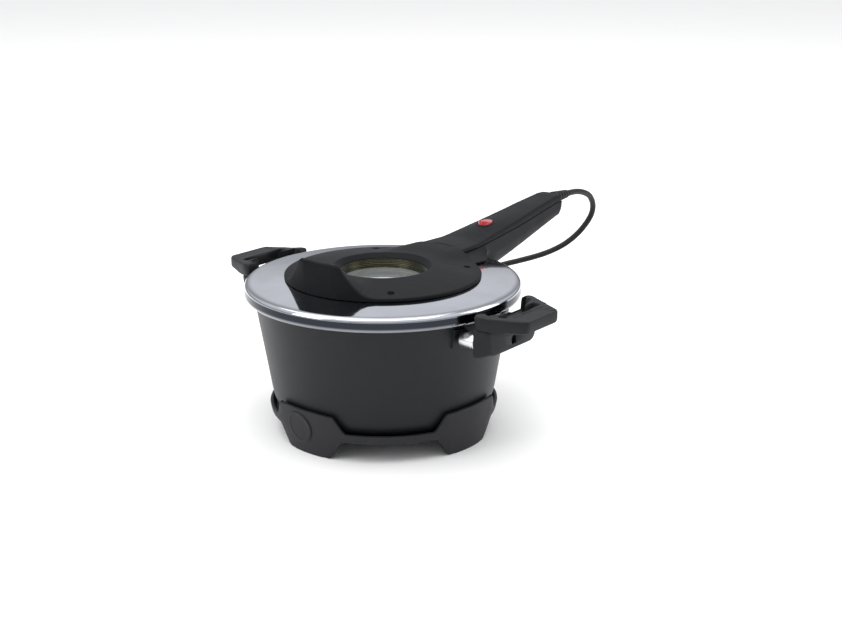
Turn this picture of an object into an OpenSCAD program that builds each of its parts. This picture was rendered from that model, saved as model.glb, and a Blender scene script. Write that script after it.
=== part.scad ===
// Small electric cooker: a pan on a stand, heated by a round lid with a long handle.
// Millimetres, +Z up, floor at z = 0, lid handle towards +X, side handles along Y.

/* [Stand] */
// Turn of the stand about the vertical axis
stand_turn = -2; // [-45:1:45]
// Height of the ring's underside above the floor
ring_z = 16.5; // [12:0.5:30]
// Thickness of the ledge that the pan stands on
ledge_t = 2.2; // [1.5:0.1:4]
// Height of the ring's raised lip above its underside
lip_h = 7; // [5:0.5:12]
// Width of the ledge, from the lip inwards
ledge_w = 15; // [12:1:24]
// Wall of the lip and of the ears
stand_wall = 3.4; // [2:0.1:5]
// Height of the ears above the floor
ear_h = 38; // [32:1:60]
// Half width of an ear's straight top edge
ear_half = 22; // [15:1:28]
// Half width of a foot where it meets the floor
foot_half = 21; // [12:1:26]
// Height of the rubber foot pads
foot_pad_h = 1.6; // [1:0.1:3]
// Diameter of the round badge on one ear
badge_d = 26; // [12:1:28]

/* [Pan] */
// Outer radius of the pan at its base corner
pan_base_r = 90; // [75:1:110]
// Outer radius of the pan at its brim
pan_top_r = 103.8; // [90:0.2:130]
// Height of the pan from its base to the centre of its bead
pan_h = 95.2; // [70:0.2:140]
// Wall of the pan
pan_wall = 3; // [2:0.2:4]
// Thickness of the pan's base
pan_floor = 5.5; // [3:0.5:8]
// Corner radius between the pan's base and its wall
pan_corner = 12; // [8:1:16]
// Radius of the bead round the brim
bead_r = 2; // [1.6:0.1:2.6]

/* [Side handles] */
// Distance from the brim to the outer face of a side handle
side_reach = 50.2; // [44:0.2:70]
// Half length of the grip at its outer edge
grip_half = 20; // [16:1:30]
// Half length of the handle where it meets the ferrules
root_half = 36; // [30:1:44]
// Thickness of the grip
grip_t = 10.5; // [8:0.5:14]
// Height of the grip's top above the centre of the bead
grip_rise = 7; // [4:0.5:14]
// Depth of the block's underside below the grip's underside
block_drop = 22; // [18:1:24]
// Diameter of the handle screw's hole
side_screw_d = 6; // [4:0.5:8]

/* [Lid] */
// Overhang of the rolled rim beyond the pan's bead
lid_over = 7.2; // [6:0.2:12]
// Thickness of the lid's sheet steel
sheet_t = 1; // [0.6:0.1:1.5]
// Radius of the rim's lower roll
rim_roll = 4.6; // [3.5:0.1:6]
// Radius of the rim's upper round
rim_round = 4; // [3:0.1:5]
// Rise of the dome from the rim to the cover's edge
dome_rise = 2.6; // [2:0.2:10]
// Clearance between the lid and the pan's bead
lid_gap = 0.3; // [0.2:0.1:0.6]

/* [Lid cover] */
// Radius of the cover
cover_r = 79; // [70:1:90]
// Height of the cover's rim band
cover_edge = 2.6; // [2:0.1:5]
// Height of the window's rim above the cover's edge
cover_rise = 5.4; // [3:0.2:10]
// Wall of the cover and of the handle shells
shell_t = 2.4; // [1.6:0.1:3]
// Radius of the window's bevel at the top
bevel_r = 39.2; // [30:0.2:48]
// Radius of the window opening
window_r = 35.2; // [26:0.2:44]
// Height of the heel's crest above the cover's edge
heel_h = 26.5; // [12:0.5:30]
// Half width of the heel's crest
heel_half = 18; // [10:1:24]
// Height of the cover's shoulder beside the handle above its edge
shoulder_h = 9.8; // [7:0.2:12]
// Radius of the circle of the cover's screws
screw_circle_r = 68; // [50:1:72]
// Diameter of the cover's screw holes
cover_screw_d = 5.4; // [3:0.2:7]

/* [Lid handle] */
// Distance from the lid's axis to the handle's tip
handle_reach = 247; // [200:1:320]
// Half width of the handle at its root
handle_root_half = 23; // [18:0.5:30]
// Half width of the handle at its tip
handle_tip_half = 11.2; // [9:0.2:16]
// Rise of the handle's top edge from root to tip
handle_rise = 18.4; // [5:0.2:40]
// Depth of the handle at its tip
handle_tip_depth = 17.5; // [14:0.5:26]
// Distance from the lid's axis to the switch
switch_x = 139; // [120:1:170]
// Length of the rocker
rocker_l = 14; // [12:0.5:24]
// Width of the rocker
rocker_w = 10.5; // [8:0.5:14]
// Tilt of the rocker when the switch is on
rocker_tilt = 7; // [4:1:12]
// Clearance round the rocker
rocker_gap = 0.8; // [0.6:0.1:1.2]

/* [Heating] */
// Distance of the element's ring inside the cover's edge
element_inset = 7; // [5:0.5:14]
// Radius of the element's tube
element_tube_r = 3.2; // [2.5:0.1:4]
// Thickness of the window glass
glass_t = 3.5; // [2:0.5:5]

/* [Cord] */
// Diameter of the mains cord
cord_d = 5.6; // [5:0.2:8]
// Mean radius of the coil of spare cord
coil_r = 33; // [28:1:50]
// Length of the strain relief outside the handle
relief_l = 24; // [20:1:40]

/* [Hidden] */
$fn = 96;

// The lid and the element follow the pan and the cover.
lid_r = pan_top_r + lid_over;
element_r = cover_r - element_inset;

// The whole object is centred over the origin; the lid's axis stands off it along X.
axis_x = -(handle_reach - lid_r) / 2;

// Heights of the stand and the pan.
pan_z = ring_z + ledge_t + 0.3;
bead_z = pan_z + pan_h;
pan_corner_z = pan_z + pan_corner;
pan_slope = (pan_top_r - pan_base_r) / (bead_z - pan_corner_z);
function pan_r(z) = pan_base_r + pan_slope * (z - pan_corner_z);
ear_gap = 1.2;
lip_in_r = pan_r(ring_z + lip_h) + 0.8;
function ear_r(z) = pan_r(z) + ear_gap + stand_wall;
badge_z = ear_h / 2 + 3;
badge_t = 1;

// Heights of the lid.
seat_z = bead_z + bead_r + lid_gap;
rim_z = bead_z + bead_r - 0.2 * rim_roll;
round_z = rim_z + 4.1;
rim_top_r = lid_r - rim_round + rim_round * cos(75);
rim_top_z = round_z + rim_round * sin(75);
dome_slope = dome_rise / (rim_top_r - cover_r);
function dome_z(r) = rim_top_z + dome_slope * (rim_top_r - r);
function cover_z(r) = cover_base + cover_edge + cover_rise * (cover_r - r) / (cover_r - bevel_r);
cover_base = dome_z(cover_r - shell_t) + 0.2;
bevel_z = cover_z(bevel_r);
opening_z = bevel_z - 3.4;
plate_z = seat_z + 5.5;
glass_z = plate_z + 2.4;
element_z = plate_z - element_tube_r - 3;
heel_z = cover_base + heel_h;
shoulder_z = cover_base + shoulder_h;

// Side handles, measured along +Y from the lid's axis.
side_out = pan_top_r + side_reach;
side_in = side_out - 38;
grip_z = bead_z + grip_rise;
ferrule_z = grip_z - 21;
block_low = block_drop + grip_t - 21;

// Lid handle, measured along +X from the lid's axis.
shell_r = cover_r + 0.1;
handle_x0 = 70;
tip_z = shoulder_z + handle_rise - 1.6;
stations = concat([for (x = [handle_x0:6:lid_r]) x], [lid_r + 0.99, lid_r + 1.01],
    [for (x = [lid_r + 4:7:handle_reach - 4]) x], [handle_reach]);
inner_stations = [for (i = [1:len(stations) - 2]) stations[i]];
switch_z = top_z(switch_x) + crown(switch_x);
relief_z = tip_z - 6;
clamp_z = relief_z - 3;

steel = "silver";

function smooth(t) = let (c = min(max(t, 0), 1)) c * c * (3 - 2 * c);
function mix(a, b, t) = a + (b - a) * t;
function arc(x, y, r, a0, a1, n = 8) =
    [for (i = [0:n]) [x + r * cos(mix(a0, a1, i / n)), y + r * sin(mix(a0, a1, i / n))]];
function along(x) = (x - handle_x0) / (handle_reach - handle_x0);

// Outline of the lid handle: half width, top edge, crown, parting line and underside.
function half_w(x) = mix(handle_root_half, handle_tip_half, along(x));
function skirt_w(x) = half_w(x) + 19 * (1 - smooth((x - handle_x0 + 4) / 48));
function top_z(x) =
    mix(shoulder_z - 1.6, tip_z, pow(min(max((x - 100) / (handle_reach - 111), 0), 1), 1.2));
function crown(x) = mix(1.4, 0.4, smooth(along(x))) + 3.2 * exp(-pow((x - switch_x) / 34, 2));
function part_z(x) = top_z(x) - mix(3, 6.4, smooth((x - 90) / 110));
function belly_z(x) = tip_z - handle_tip_depth - 0.2 * (handle_reach - x);
function under_z(x) =
    let (over_lid = dome_z(min(x, rim_top_r)) + 0.6)
    x < lid_r + 1 ? over_lid : mix(over_lid - 4.4, belly_z(x), smooth((x - lid_r - 1) / 18));

// Cross sections of the handle in YZ, counter-clockwise, drawn in by a wall w.
function lower_section(x, w) =
    let (h = skirt_w(x) - w, b = 0.55 * half_w(x) - w / 2, z0 = under_z(x) + w, z1 = part_z(x))
    let (zc = mix(z0, z1, 0.5))
    [[-b, z0], [b, z0], [mix(b, h, 0.6), mix(z0, zc, 0.4)], [h - 0.6, zc], [h, z1],
     [-h, z1], [-h + 0.6, zc], [mix(-b, -h, 0.6), mix(z0, zc, 0.4)]];
function top_section(x, w) =
    let (h = half_w(x) - w, z0 = part_z(x) + 0.05, z1 = top_z(x) - w, c = crown(x))
    concat([[-h, z0], [h, z0], [h - 0.3, mix(z0, z1, 0.6)]],
           [for (i = [-5:5]) let (t = -i / 5) [t * (h - 1.6), z1 + c * (1 - t * t)]],
           [[-h + 0.3, mix(z0, z1, 0.6)]]);

// Puts children on the lid's axis.
module on_axis() {
    translate([axis_x, 0, 0])
        children();
}

// Solid through equal sections [[y, z], ...] at the given x values.
module loft_x(xs, sections) {
    n = len(sections[0]);
    last = len(xs) - 1;
    points = [for (i = [0:last]) for (p = sections[i]) [xs[i], p[0], p[1]]];
    sides = [for (i = [0:last - 1]) for (j = [0:n - 1])
        [(i + 1) * n + j, (i + 1) * n + (j + 1) % n, i * n + (j + 1) % n, i * n + j]];
    ends = [[for (j = [0:n - 1]) j], [for (j = [n - 1:-1:0]) last * n + j]];
    polyhedron(points, concat(sides, ends));
}

// Tube of diameter d through a list of points.
function unit(v) = v / norm(v);
function heading(p, i) = unit(p[min(i + 1, len(p) - 1)] - p[max(i - 1, 0)]);
function side_of(v) = abs(v[2]) > 0.9 ? unit(cross(v, [0, 1, 0])) : unit(cross(v, [0, 0, 1]));
module tube(p, d, sides = 10) {
    last = len(p) - 1;
    points = [for (i = [0:last])
        let (v = heading(p, i), a = side_of(v), b = cross(v, a))
        for (j = [0:sides - 1]) p[i] + d / 2 * (a * cos(360 * j / sides) + b * sin(360 * j / sides))];
    walls = [for (i = [0:last - 1]) for (j = [0:sides - 1])
        [i * sides + j, i * sides + (j + 1) % sides,
         (i + 1) * sides + (j + 1) % sides, (i + 1) * sides + j]];
    polyhedron(points, concat(walls,
        [[for (j = [sides - 1:-1:0]) j], [for (j = [0:sides - 1]) last * sides + j]]));
}

// Points of a smooth curve through a short list of points, with n steps between two.
function knot(p, i) = p[min(max(i, 0), len(p) - 1)];
function curve(p, n) = concat([for (i = [0:len(p) - 2]) for (k = [0:n - 1])
    let (t = k / n, a = knot(p, i - 1), b = p[i], c = p[i + 1], d = knot(p, i + 2))
    0.5 * (2 * b + (c - a) * t + (2 * a - 5 * b + 4 * c - d) * t * t
           + (3 * b - a - 3 * c + d) * t * t * t)], [p[len(p) - 1]]);

// Route of the cord from the strain relief to the coil, measured from the lid's axis.
cord_route = [
    [271, 0, 146.6], [286, 0, 146], [300, 0, 143], [314, 1, 137], [324, 3, 127], [328, 6, 117],
    [327, 10, 108], [321, 16, 97], [312, 24, 87], [302, 33, 80], [290, 43, 75], [275, 55, 71],
    [255, 68, 67], [232, 84, 57], [208, 102, 42], [184, 121, 25], [164, 134, 14], [146, 140, 8],
    [126, 142, 4]];
coil_at = [126, 106];
tail_route = [[160, 108, 6], [161, 122, 3], [161, 136, 3], [161, 150, 3], [160, 162, 6]];
plug_at = [160, 160, 8];

// One ear with its foot: a leaning wall cut to the ear's outline.
module ear() {
    flank = [for (t = [0:0.125:1]) [mix(ear_half + 17, ear_half, t), mix(ring_z + lip_h, ear_h, smooth(t))]];
    right = concat([[0, foot_pad_h]], arc(foot_half - 5, foot_pad_h + 5, 5, -90, -30, 4),
        [[foot_half + 12, ring_z], [foot_half + 20, ring_z], [foot_half + 20, ring_z + lip_h]],
        flank, [[0, ear_h]]);
    outline = concat(right, [for (i = [len(right) - 1:-1:0]) [-right[i][0], right[i][1]]]);
    low = ear_r(0);
    high = ear_r(ear_h);
    intersection() {
        rotate_extrude()
            polygon([[low - stand_wall, 0], [low, 0], [high, ear_h], [high - stand_wall, ear_h]]);
        translate([60, 0, 0])
            rotate([90, 0, 90])
                linear_extrude(60)
                    polygon(outline);
    }
}

module stand_ring() {
    color([0.24, 0.24, 0.26])
        on_axis()
            rotate([0, 0, stand_turn]) {
                rotate_extrude()
                    polygon([
                        [lip_in_r - ledge_w, ring_z], [ear_r(ring_z) - 0.4, ring_z],
                        [ear_r(ring_z + lip_h) - 0.4, ring_z + lip_h],
                        [lip_in_r, ring_z + lip_h], [lip_in_r - 0.8, ring_z + ledge_t],
                        [lip_in_r - ledge_w, ring_z + ledge_t]]);
                for (a = [0:90:270])
                    rotate([0, 0, a])
                        ear();
            }
}

module stand_badge() {
    low = ear_r(0);
    high = ear_r(ear_h);
    color([0.26, 0.26, 0.28])
        on_axis()
            rotate([0, 0, stand_turn + 177])
                intersection() {
                    rotate_extrude()
                        polygon([
                            [low + 0.02, 0], [low + badge_t, 0],
                            [high + badge_t, ear_h], [high + 0.02, ear_h]]);
                    translate([60, 0, badge_z])
                        rotate([0, 90, 0])
                            cylinder(h = 60, d = badge_d);
                }
}

module foot_pads() {
    color("dimgray")
        on_axis()
            for (a = [0:90:270])
                rotate([0, 0, a + stand_turn])
                    intersection() {
                        rotate_extrude()
                            translate([ear_r(0) - stand_wall + 0.3, 0])
                                square([stand_wall - 0.6, foot_pad_h]);
                        translate([60, -foot_half + 6, -1])
                            cube([60, 2 * foot_half - 12, foot_pad_h + 2]);
                    }
}

module rest_pads() {
    color("gray")
        on_axis()
            for (a = [45:90:315])
                rotate([0, 0, a + stand_turn])
                    translate([lip_in_r - ledge_w + 3.5, 0, ring_z + ledge_t])
                        cylinder(h = pan_z - ring_z - ledge_t, d = 5);
}

module pan_shell() {
    inner_corner = pan_corner - pan_wall;
    color([0.22, 0.23, 0.25])
        on_axis()
            rotate_extrude()
                polygon(concat(
                    [[0, pan_z]],
                    arc(pan_base_r - pan_corner, pan_corner_z, pan_corner, -90, 0, 10),
                    arc(pan_r(bead_z - bead_r), bead_z, bead_r, -90, 180, 16),
                    arc(pan_base_r - pan_corner, pan_z + pan_floor + inner_corner, inner_corner, 0, -90, 8),
                    [[0, pan_z + pan_floor]]));
}

// Two steel plates on the pan's wall, each with a stud that carries a ferrule.
module bracket(a) {
    low = ferrule_z - 8;
    high = ferrule_z + 7;
    start = sqrt(pow(pan_r(ferrule_z), 2) - pow(ferrule_x, 2)) + 1.3;
    color("lightgray")
        on_axis()
            rotate([0, 0, a]) {
                intersection() {
                    rotate_extrude()
                        polygon([
                            [pan_r(low) + 0.1, low], [pan_r(low) + 1.6, low],
                            [pan_r(high) + 1.6, high], [pan_r(high) + 0.1, high]]);
                    for (x = [-ferrule_x, ferrule_x])
                        translate([x - 5, 0, 0])
                            cube([10, 200, 200]);
                }
                for (x = [-ferrule_x, ferrule_x])
                    translate([x, start, ferrule_z])
                        rotate([-90, 0, 0])
                            cylinder(h = side_in + 4 - start, d = 5);
            }
}
ferrule_x = root_half - 7;

module bracket_left() {
    bracket(0);
}

module bracket_right() {
    bracket(180);
}

// Bright sleeves between the pan and the side handle.
module ferrules(a) {
    reach = pan_r(ferrule_z + 7);
    start = sqrt(reach * reach - pow(ferrule_x - 7, 2)) + 2;
    color(steel)
        on_axis()
            rotate([0, 0, a])
                for (x = [-ferrule_x, ferrule_x])
                    translate([x, start, ferrule_z])
                        rotate([-90, 0, 0])
                            difference() {
                                cylinder(h = side_in - start, d = 14);
                                translate([0, 0, -1])
                                    cylinder(h = side_in - start + 2, d = 5.4);
                            }
}

module ferrules_left() {
    ferrules(0);
}

module ferrules_right() {
    ferrules(180);
}

// Bar on two arms, with a recess open to the lid, a finger slot, and a block for studs and screw.
module side_handle(a) {
    slot_in = side_in + 13;
    color([0.2, 0.21, 0.22])
        on_axis()
            rotate([0, 0, a])
                difference() {
                    union() {
                        translate([0, 0, grip_z - grip_t])
                            hull()
                                for (s = [-1, 1]) {
                                    translate([s * (root_half - 5), side_in + 5, 0])
                                        cylinder(h = grip_t, r = 5, $fn = 32);
                                    translate([s * (grip_half - 4), side_out - 4, 0])
                                        cylinder(h = grip_t, r = 4, $fn = 32);
                                }
                        translate([0, side_in, ferrule_z])
                            rotate([-90, 0, 0])
                                hull()
                                    for (s = [-1, 1]) {
                                        translate([s * (root_half - 8), block_low - 8, 0])
                                            cylinder(h = 12, r = 8, $fn = 32);
                                        translate([s * (root_half - 4), -8, 0])
                                            cylinder(h = 12, r = 4, $fn = 32);
                                    }
                    }
                    translate([0, 0, grip_z - grip_t - 1])
                        hull()
                            for (s = [-1, 1]) {
                                translate([s * (root_half - 14), slot_in + 2.5, 0])
                                    cylinder(h = grip_t + 2, r = 2.5, $fn = 32);
                                translate([s * (root_half - 15), slot_in + 5, 0])
                                    cylinder(h = grip_t + 2, r = 2.5, $fn = 32);
                            }
                    translate([-root_half + 9, side_in - 1, grip_z - grip_t + 1])
                        cube([2 * root_half - 18, slot_in - side_in + 5, grip_t]);
                    for (x = [-ferrule_x, ferrule_x])
                        translate([x, side_in - 1, ferrule_z])
                            rotate([-90, 0, 0])
                                cylinder(h = 6, d = 5.4);
                    translate([0, side_in + 4, ferrule_z - 3])
                        rotate([-90, 0, 0])
                            cylinder(h = 12, d = side_screw_d);
                }
}

module side_handle_left() {
    side_handle(0);
}

module side_handle_right() {
    side_handle(180);
}

module side_handle_screws() {
    color(steel)
        on_axis()
            for (a = [0, 180])
                rotate([0, 0, a])
                    translate([0, side_in + 4, ferrule_z - 3])
                        rotate([-90, 0, 0])
                            difference() {
                                cylinder(h = 3, d = side_screw_d - 0.4);
                                translate([-3, -0.5, 2])
                                    cube([6, 1, 2]);
                            }
}

// Dome with a rolled rim, one thickness of sheet.
module lid_dome() {
    roll_r = lid_r - rim_roll;
    round_r = lid_r - rim_round;
    hole_r = bevel_r + 2;
    color(steel)
        on_axis()
            difference() {
                rotate_extrude()
                    polygon(concat(
                        arc(roll_r, rim_z, rim_roll, -75, 0, 10),
                        arc(round_r, round_z, rim_round, 0, 75, 8),
                        [[hole_r, dome_z(hole_r)], [hole_r, dome_z(hole_r) - sheet_t]],
                        arc(round_r, round_z, rim_round - sheet_t, 75, 0, 8),
                        arc(roll_r, rim_z, rim_roll - sheet_t, 0, -75, 10)));
                leg_holes();
            }
}

module reflector() {
    seat_out = lid_r - sheet_t - 1.6;
    color("gainsboro")
        on_axis()
            difference() {
                rotate_extrude()
                    polygon([
                        [seat_out, seat_z], [seat_out, seat_z + sheet_t], [99, seat_z + sheet_t],
                        [93, plate_z + sheet_t], [window_r + 0.6, plate_z + sheet_t],
                        [window_r + 0.6, plate_z], [92.6, plate_z], [98.6, seat_z]]);
                leg_holes();
            }
}

// Holes where the element's legs pass through the reflector and the dome.
module leg_holes() {
    for (s = [-1, 1])
        rotate([0, 0, s * leg_angle])
            translate([element_r, 0, plate_z - 2])
                cylinder(h = leg_top - plate_z + 4, r = element_tube_r + 0.4);
}
leg_angle = 7;
leg_top = cover_base + 3.4;
channel_half = 13;

// Open ring with two legs that pass up through the reflector.
module heating_element() {
    color([0.35, 0.33, 0.32])
        on_axis() {
            rotate([0, 0, leg_angle])
                rotate_extrude(angle = 360 - 2 * leg_angle)
                    translate([element_r, element_z])
                        circle(r = element_tube_r);
            for (s = [-1, 1])
                rotate([0, 0, s * leg_angle])
                    translate([element_r, 0, element_z])
                        cylinder(h = leg_top - element_z, r = element_tube_r);
        }
}

module element_clips() {
    color("gray")
        on_axis()
            for (a = [90:90:270])
                rotate([0, 0, a])
                    translate([element_r, 0, 0])
                        difference() {
                            translate([-6, -4, element_z])
                                cube([12, 8, plate_z - element_z]);
                            translate([0, -5, element_z])
                                rotate([-90, 0, 0])
                                    cylinder(h = 10, r = element_tube_r + 0.1);
                        }
}

module insulation() {
    color("beige")
        on_axis()
            rotate_extrude()
                polygon([
                    [bevel_r + 4, plate_z + sheet_t + 0.1], [64, plate_z + sheet_t + 0.1],
                    [64, dome_z(64) - sheet_t - 0.3], [bevel_r + 4, dome_z(bevel_r + 4) - sheet_t - 0.3]]);
}

module thermostat() {
    color("lightgray")
        on_axis()
            translate([58, 0, dome_z(52) + 0.1]) {
                cylinder(h = 2.5, d = 12);
                translate([-3, -3, 0])
                    cube([6, 6, 3.2]);
            }
}

// Stepped steel sleeve that holds the glass.
module window_ring() {
    color(steel)
        on_axis()
            rotate_extrude()
                polygon([
                    [window_r - 3, glass_z - 1], [window_r + 0.3, glass_z - 1],
                    [window_r + 0.3, opening_z - 2], [window_r + 3, opening_z - 2],
                    [window_r + 3, opening_z - 0.6], [window_r - 0.8, opening_z - 0.6],
                    [window_r - 0.8, opening_z - 3], [window_r - 1.6, opening_z - 3],
                    [window_r - 1.6, glass_z + 0.2], [window_r - 3, glass_z + 0.2]]);
}

module window_glass() {
    color("lightcyan", 0.4)
        on_axis()
            translate([0, 0, glass_z - glass_t - 1])
                cylinder(h = glass_t, r = window_r - 1);
}

module window_seal() {
    color("darkred")
        on_axis()
            rotate_extrude()
                polygon([
                    [window_r - 3, glass_z - glass_t - 2.4], [window_r + 0.4, glass_z - glass_t - 2.4],
                    [window_r + 0.4, glass_z - 1.1], [window_r - 0.9, glass_z - 1.1],
                    [window_r - 0.9, glass_z - glass_t - 1.1], [window_r - 3, glass_z - glass_t - 1.1]]);
}

// Half profile across the heel or the shoulder: flat middle, soft flanks.
function flanks(half, z_high, z_low, w) =
    [for (t = [0:0.1:1]) [mix(half + 30, half, t) - w, mix(z_low, z_high, smooth(t)) - w]];

// Raised part of the cover towards +X, drawn in by a wall w.
module raised(z_high, half, inner_x, w) {
    right = flanks(half, z_high, cover_base + cover_edge, w);
    left = [for (i = [len(right) - 1:-1:0]) [-right[i][0], right[i][1]]];
    rise = z_high - bevel_z;
    top = [for (t = [0:0.1:1]) [mix(inner_x, cover_r - 5, t), bevel_z - w + rise * pow(t, 1.6)]];
    low = cover_base - 0.01;
    intersection() {
        translate([0, 0, low])
            cylinder(h = 60, r = cover_r - w);
        translate([0, 60, 0])
            rotate([90, 0, 0])
                linear_extrude(120)
                    polygon(concat([[inner_x, low]], top, [[cover_r + 1, z_high - w], [cover_r + 1, low]]));
        rotate([90, 0, 90])
            linear_extrude(120)
                polygon(concat([[right[0][0], low]], right, left, [[left[len(left) - 1][0], low]]));
    }
}

module cover_hole(a, r) {
    rotate([0, 0, a])
        translate([r, 0, cover_base - 1])
            cylinder(h = 40, d = cover_screw_d);
}

module lid_cover() {
    inside = cover_r - shell_t;
    lip_z = dome_z(bevel_r) + 0.3;
    color([0.2, 0.21, 0.22])
        on_axis()
            difference() {
                union() {
                    rotate_extrude()
                        polygon([
                            [window_r, opening_z - 0.5], [window_r, opening_z], [bevel_r, bevel_z],
                            [cover_r - 1, cover_z(cover_r - 1)], [cover_r, cover_base + cover_edge - 1],
                            [cover_r, cover_base], [inside, cover_base], [inside, cover_base + 0.6],
                            [bevel_r + 4, bevel_z - shell_t - 0.4], [bevel_r + 4, lip_z],
                            [bevel_r + 0.5, lip_z], [bevel_r + 0.5, opening_z - 0.5]]);
                    rotate([0, 0, 180])
                        difference() {
                            raised(heel_z, heel_half, bevel_r + 1, 0);
                            raised(heel_z, heel_half, bevel_r + 3, shell_t);
                        }
                    difference() {
                        raised(shoulder_z, 24, bevel_r + 1, 0);
                        raised(shoulder_z, 24, bevel_r + 3, shell_t);
                    }
                }
                rotate_extrude()
                    polygon([
                        [0, rim_top_z - 5], [cover_r + 5, rim_top_z - 5],
                        [cover_r + 5, dome_z(cover_r + 5) + 0.15], [0, dome_z(0) + 0.15]]);
                for (a = [45, 135, 225, 315])
                    cover_hole(a, screw_circle_r);
                translate([50, -channel_half, cover_base - 1])
                    cube([cover_r - 40, 2 * channel_half, shoulder_z - shell_t - cover_base]);
            }
}

module cover_screws() {
    color(steel)
        on_axis()
            for (a = [45, 135, 225, 315])
                rotate([0, 0, a])
                    translate([screw_circle_r, 0, cover_base + 1])
                        difference() {
                            cylinder(h = 1.6, d = cover_screw_d - 0.4);
                            translate([-1.5, -0.4, 0.8])
                                cube([3, 0.8, 2]);
                        }
}

// What the handle's shells are cut back by, to leave room for the cover.
module cover_room() {
    translate([0, 0, rim_z - 20])
        cylinder(h = 80, r = shell_r);
}

module handle_lower_shell() {
    color([0.2, 0.21, 0.22])
        on_axis()
            difference() {
                loft_x(stations, [for (x = stations) lower_section(x, 0)]);
                loft_x(inner_stations, [for (x = inner_stations)
                    [for (p = lower_section(x, shell_t)) [p[0], p[1] > part_z(x) - 0.1 ? p[1] + 1 : p[1]]]]);
                cover_room();
                translate([handle_reach - 20, 0, relief_z])
                    rotate([0, 90, 0])
                        cylinder(h = 40, d = relief_d + 0.4);
            }
}
relief_d = 9;

module handle_top_shell() {
    color([0.22, 0.23, 0.24])
        on_axis()
            difference() {
                loft_x(stations, [for (x = stations) top_section(x, 0)]);
                loft_x(inner_stations, [for (x = inner_stations)
                    [for (p = top_section(x, 2)) [p[0], p[1] < part_z(x) + 0.1 ? p[1] - 1 : p[1]]]]);
                cover_room();
                translate([switch_x, 0, switch_z - 20])
                    linear_extrude(40)
                        rocker_outline(rocker_gap);
                translate([handle_reach - 20, 0, relief_z])
                    rotate([0, 90, 0])
                        cylinder(h = 40, d = relief_d + 0.4);
            }
}

// Long hole with round ends, grown by g.
module rocker_outline(g) {
    straight = rocker_l - rocker_w;
    square([straight, rocker_w + 2 * g], center = true);
    for (s = [-1, 1])
        translate([s * straight / 2, 0])
            circle(d = rocker_w + 2 * g);
}

module shell_screws() {
    color(steel)
        on_axis()
            for (x = [168, 204])
                translate([x, 0, under_z(x) + shell_t + 0.4])
                    cylinder(h = part_z(x) - under_z(x) - shell_t, d = 3);
}

// Box of the switch, open at the top for the rocker.
module switch_housing() {
    top = switch_z - 4.8;
    color([0.12, 0.12, 0.13])
        on_axis()
            translate([switch_x, 0, top - 12])
                difference() {
                    translate([-12, -8, 0])
                        cube([24, 16, 12]);
                    translate([-rocker_l / 2 - 1, -rocker_w / 2 - rocker_gap, 3])
                        cube([rocker_l + 2, rocker_w + 2 * rocker_gap, 12]);
                }
}

module switch_rocker() {
    color("red")
        on_axis()
            translate([switch_x, 0, rocker_pivot])
                rotate([0, rocker_tilt, 0])
                    difference() {
                        intersection() {
                            translate([0, 0, -3.4])
                                linear_extrude(switch_z - rocker_pivot + 5)
                                    rocker_outline(-0.1);
                            rotate([90, 0, 0])
                                linear_extrude(40, center = true)
                                    polygon([
                                        [-rocker_l, -4], [rocker_l, -4], [rocker_l, rocker_top + 1.4],
                                        [0, rocker_top], [-rocker_l, rocker_top + 1.4]]);
                        }
                        rotate([90, 0, 0])
                            cylinder(h = 40, d = 2.1, center = true);
                    }
}
rocker_pivot = switch_z - 5;
rocker_top = 6.2;

module switch_pin() {
    color("silver")
        on_axis()
            translate([switch_x, 0, rocker_pivot])
                rotate([90, 0, 0])
                    cylinder(h = rocker_w + 2 * rocker_gap + 2, d = 2, center = true);
}

module indicator_lamp() {
    color("orange")
        on_axis()
            translate([switch_x + 15, 0, switch_z - 11])
                rotate([0, 90, 0]) {
                    cylinder(h = 8, d = 4);
                    translate([0, 0, 8])
                        cylinder(h = 3, d = 2);
                }
}

module terminal_block() {
    color("ivory")
        on_axis()
            translate([block_x, 0, block_z])
                difference() {
                    translate([-5, -10, -3])
                        cube([10, 20, 7]);
                    for (y = [-5, 0, 5])
                        translate([-10, y, 0])
                            rotate([0, 90, 0])
                                cylinder(h = 20, d = 2.6);
                }
}

// Leads from the terminal block to the switch, and back to the element's legs.
module inner_leads() {
    leg_x = element_r * cos(leg_angle) + element_tube_r + 1.2;
    over_floor = under_z(shell_r) + shell_t + 1.6;
    color("peru")
        on_axis()
            for (y = [-5, 5]) {
                tube(curve([[block_x, y, block_z - 4.4], [block_x + 8, y, block_z - 4.4],
                    [switch_x - 6, y * 0.8, switch_z - 19]], 3), 2, 8);
                tube(curve([[block_x - 5.4, y, block_z], [block_x - 12, y, block_z + 0.4],
                    [shell_r + 6, y, over_floor], [leg_x, y * 1.3, over_floor]], 3), 2, 8);
            }
}
block_x = switch_x - 19.5;
block_z = switch_z - 15.5;

module cord_clamp() {
    color([0.3, 0.3, 0.3])
        on_axis()
            translate([handle_reach - 26, 0, clamp_z])
                difference() {
                    translate([-4, -7, -3.6])
                        cube([8, 14, 7.2]);
                    translate([-10, 0, 0])
                        rotate([0, 90, 0])
                            cylinder(h = 20, d = cord_d + 0.2);
                }
}

module clamp_screws() {
    color(steel)
        on_axis()
            for (y = [-5.2, 5.2])
                translate([handle_reach - 26, y, clamp_z + 3.6])
                    cylinder(h = 0.8, d = 3);
}

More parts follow.
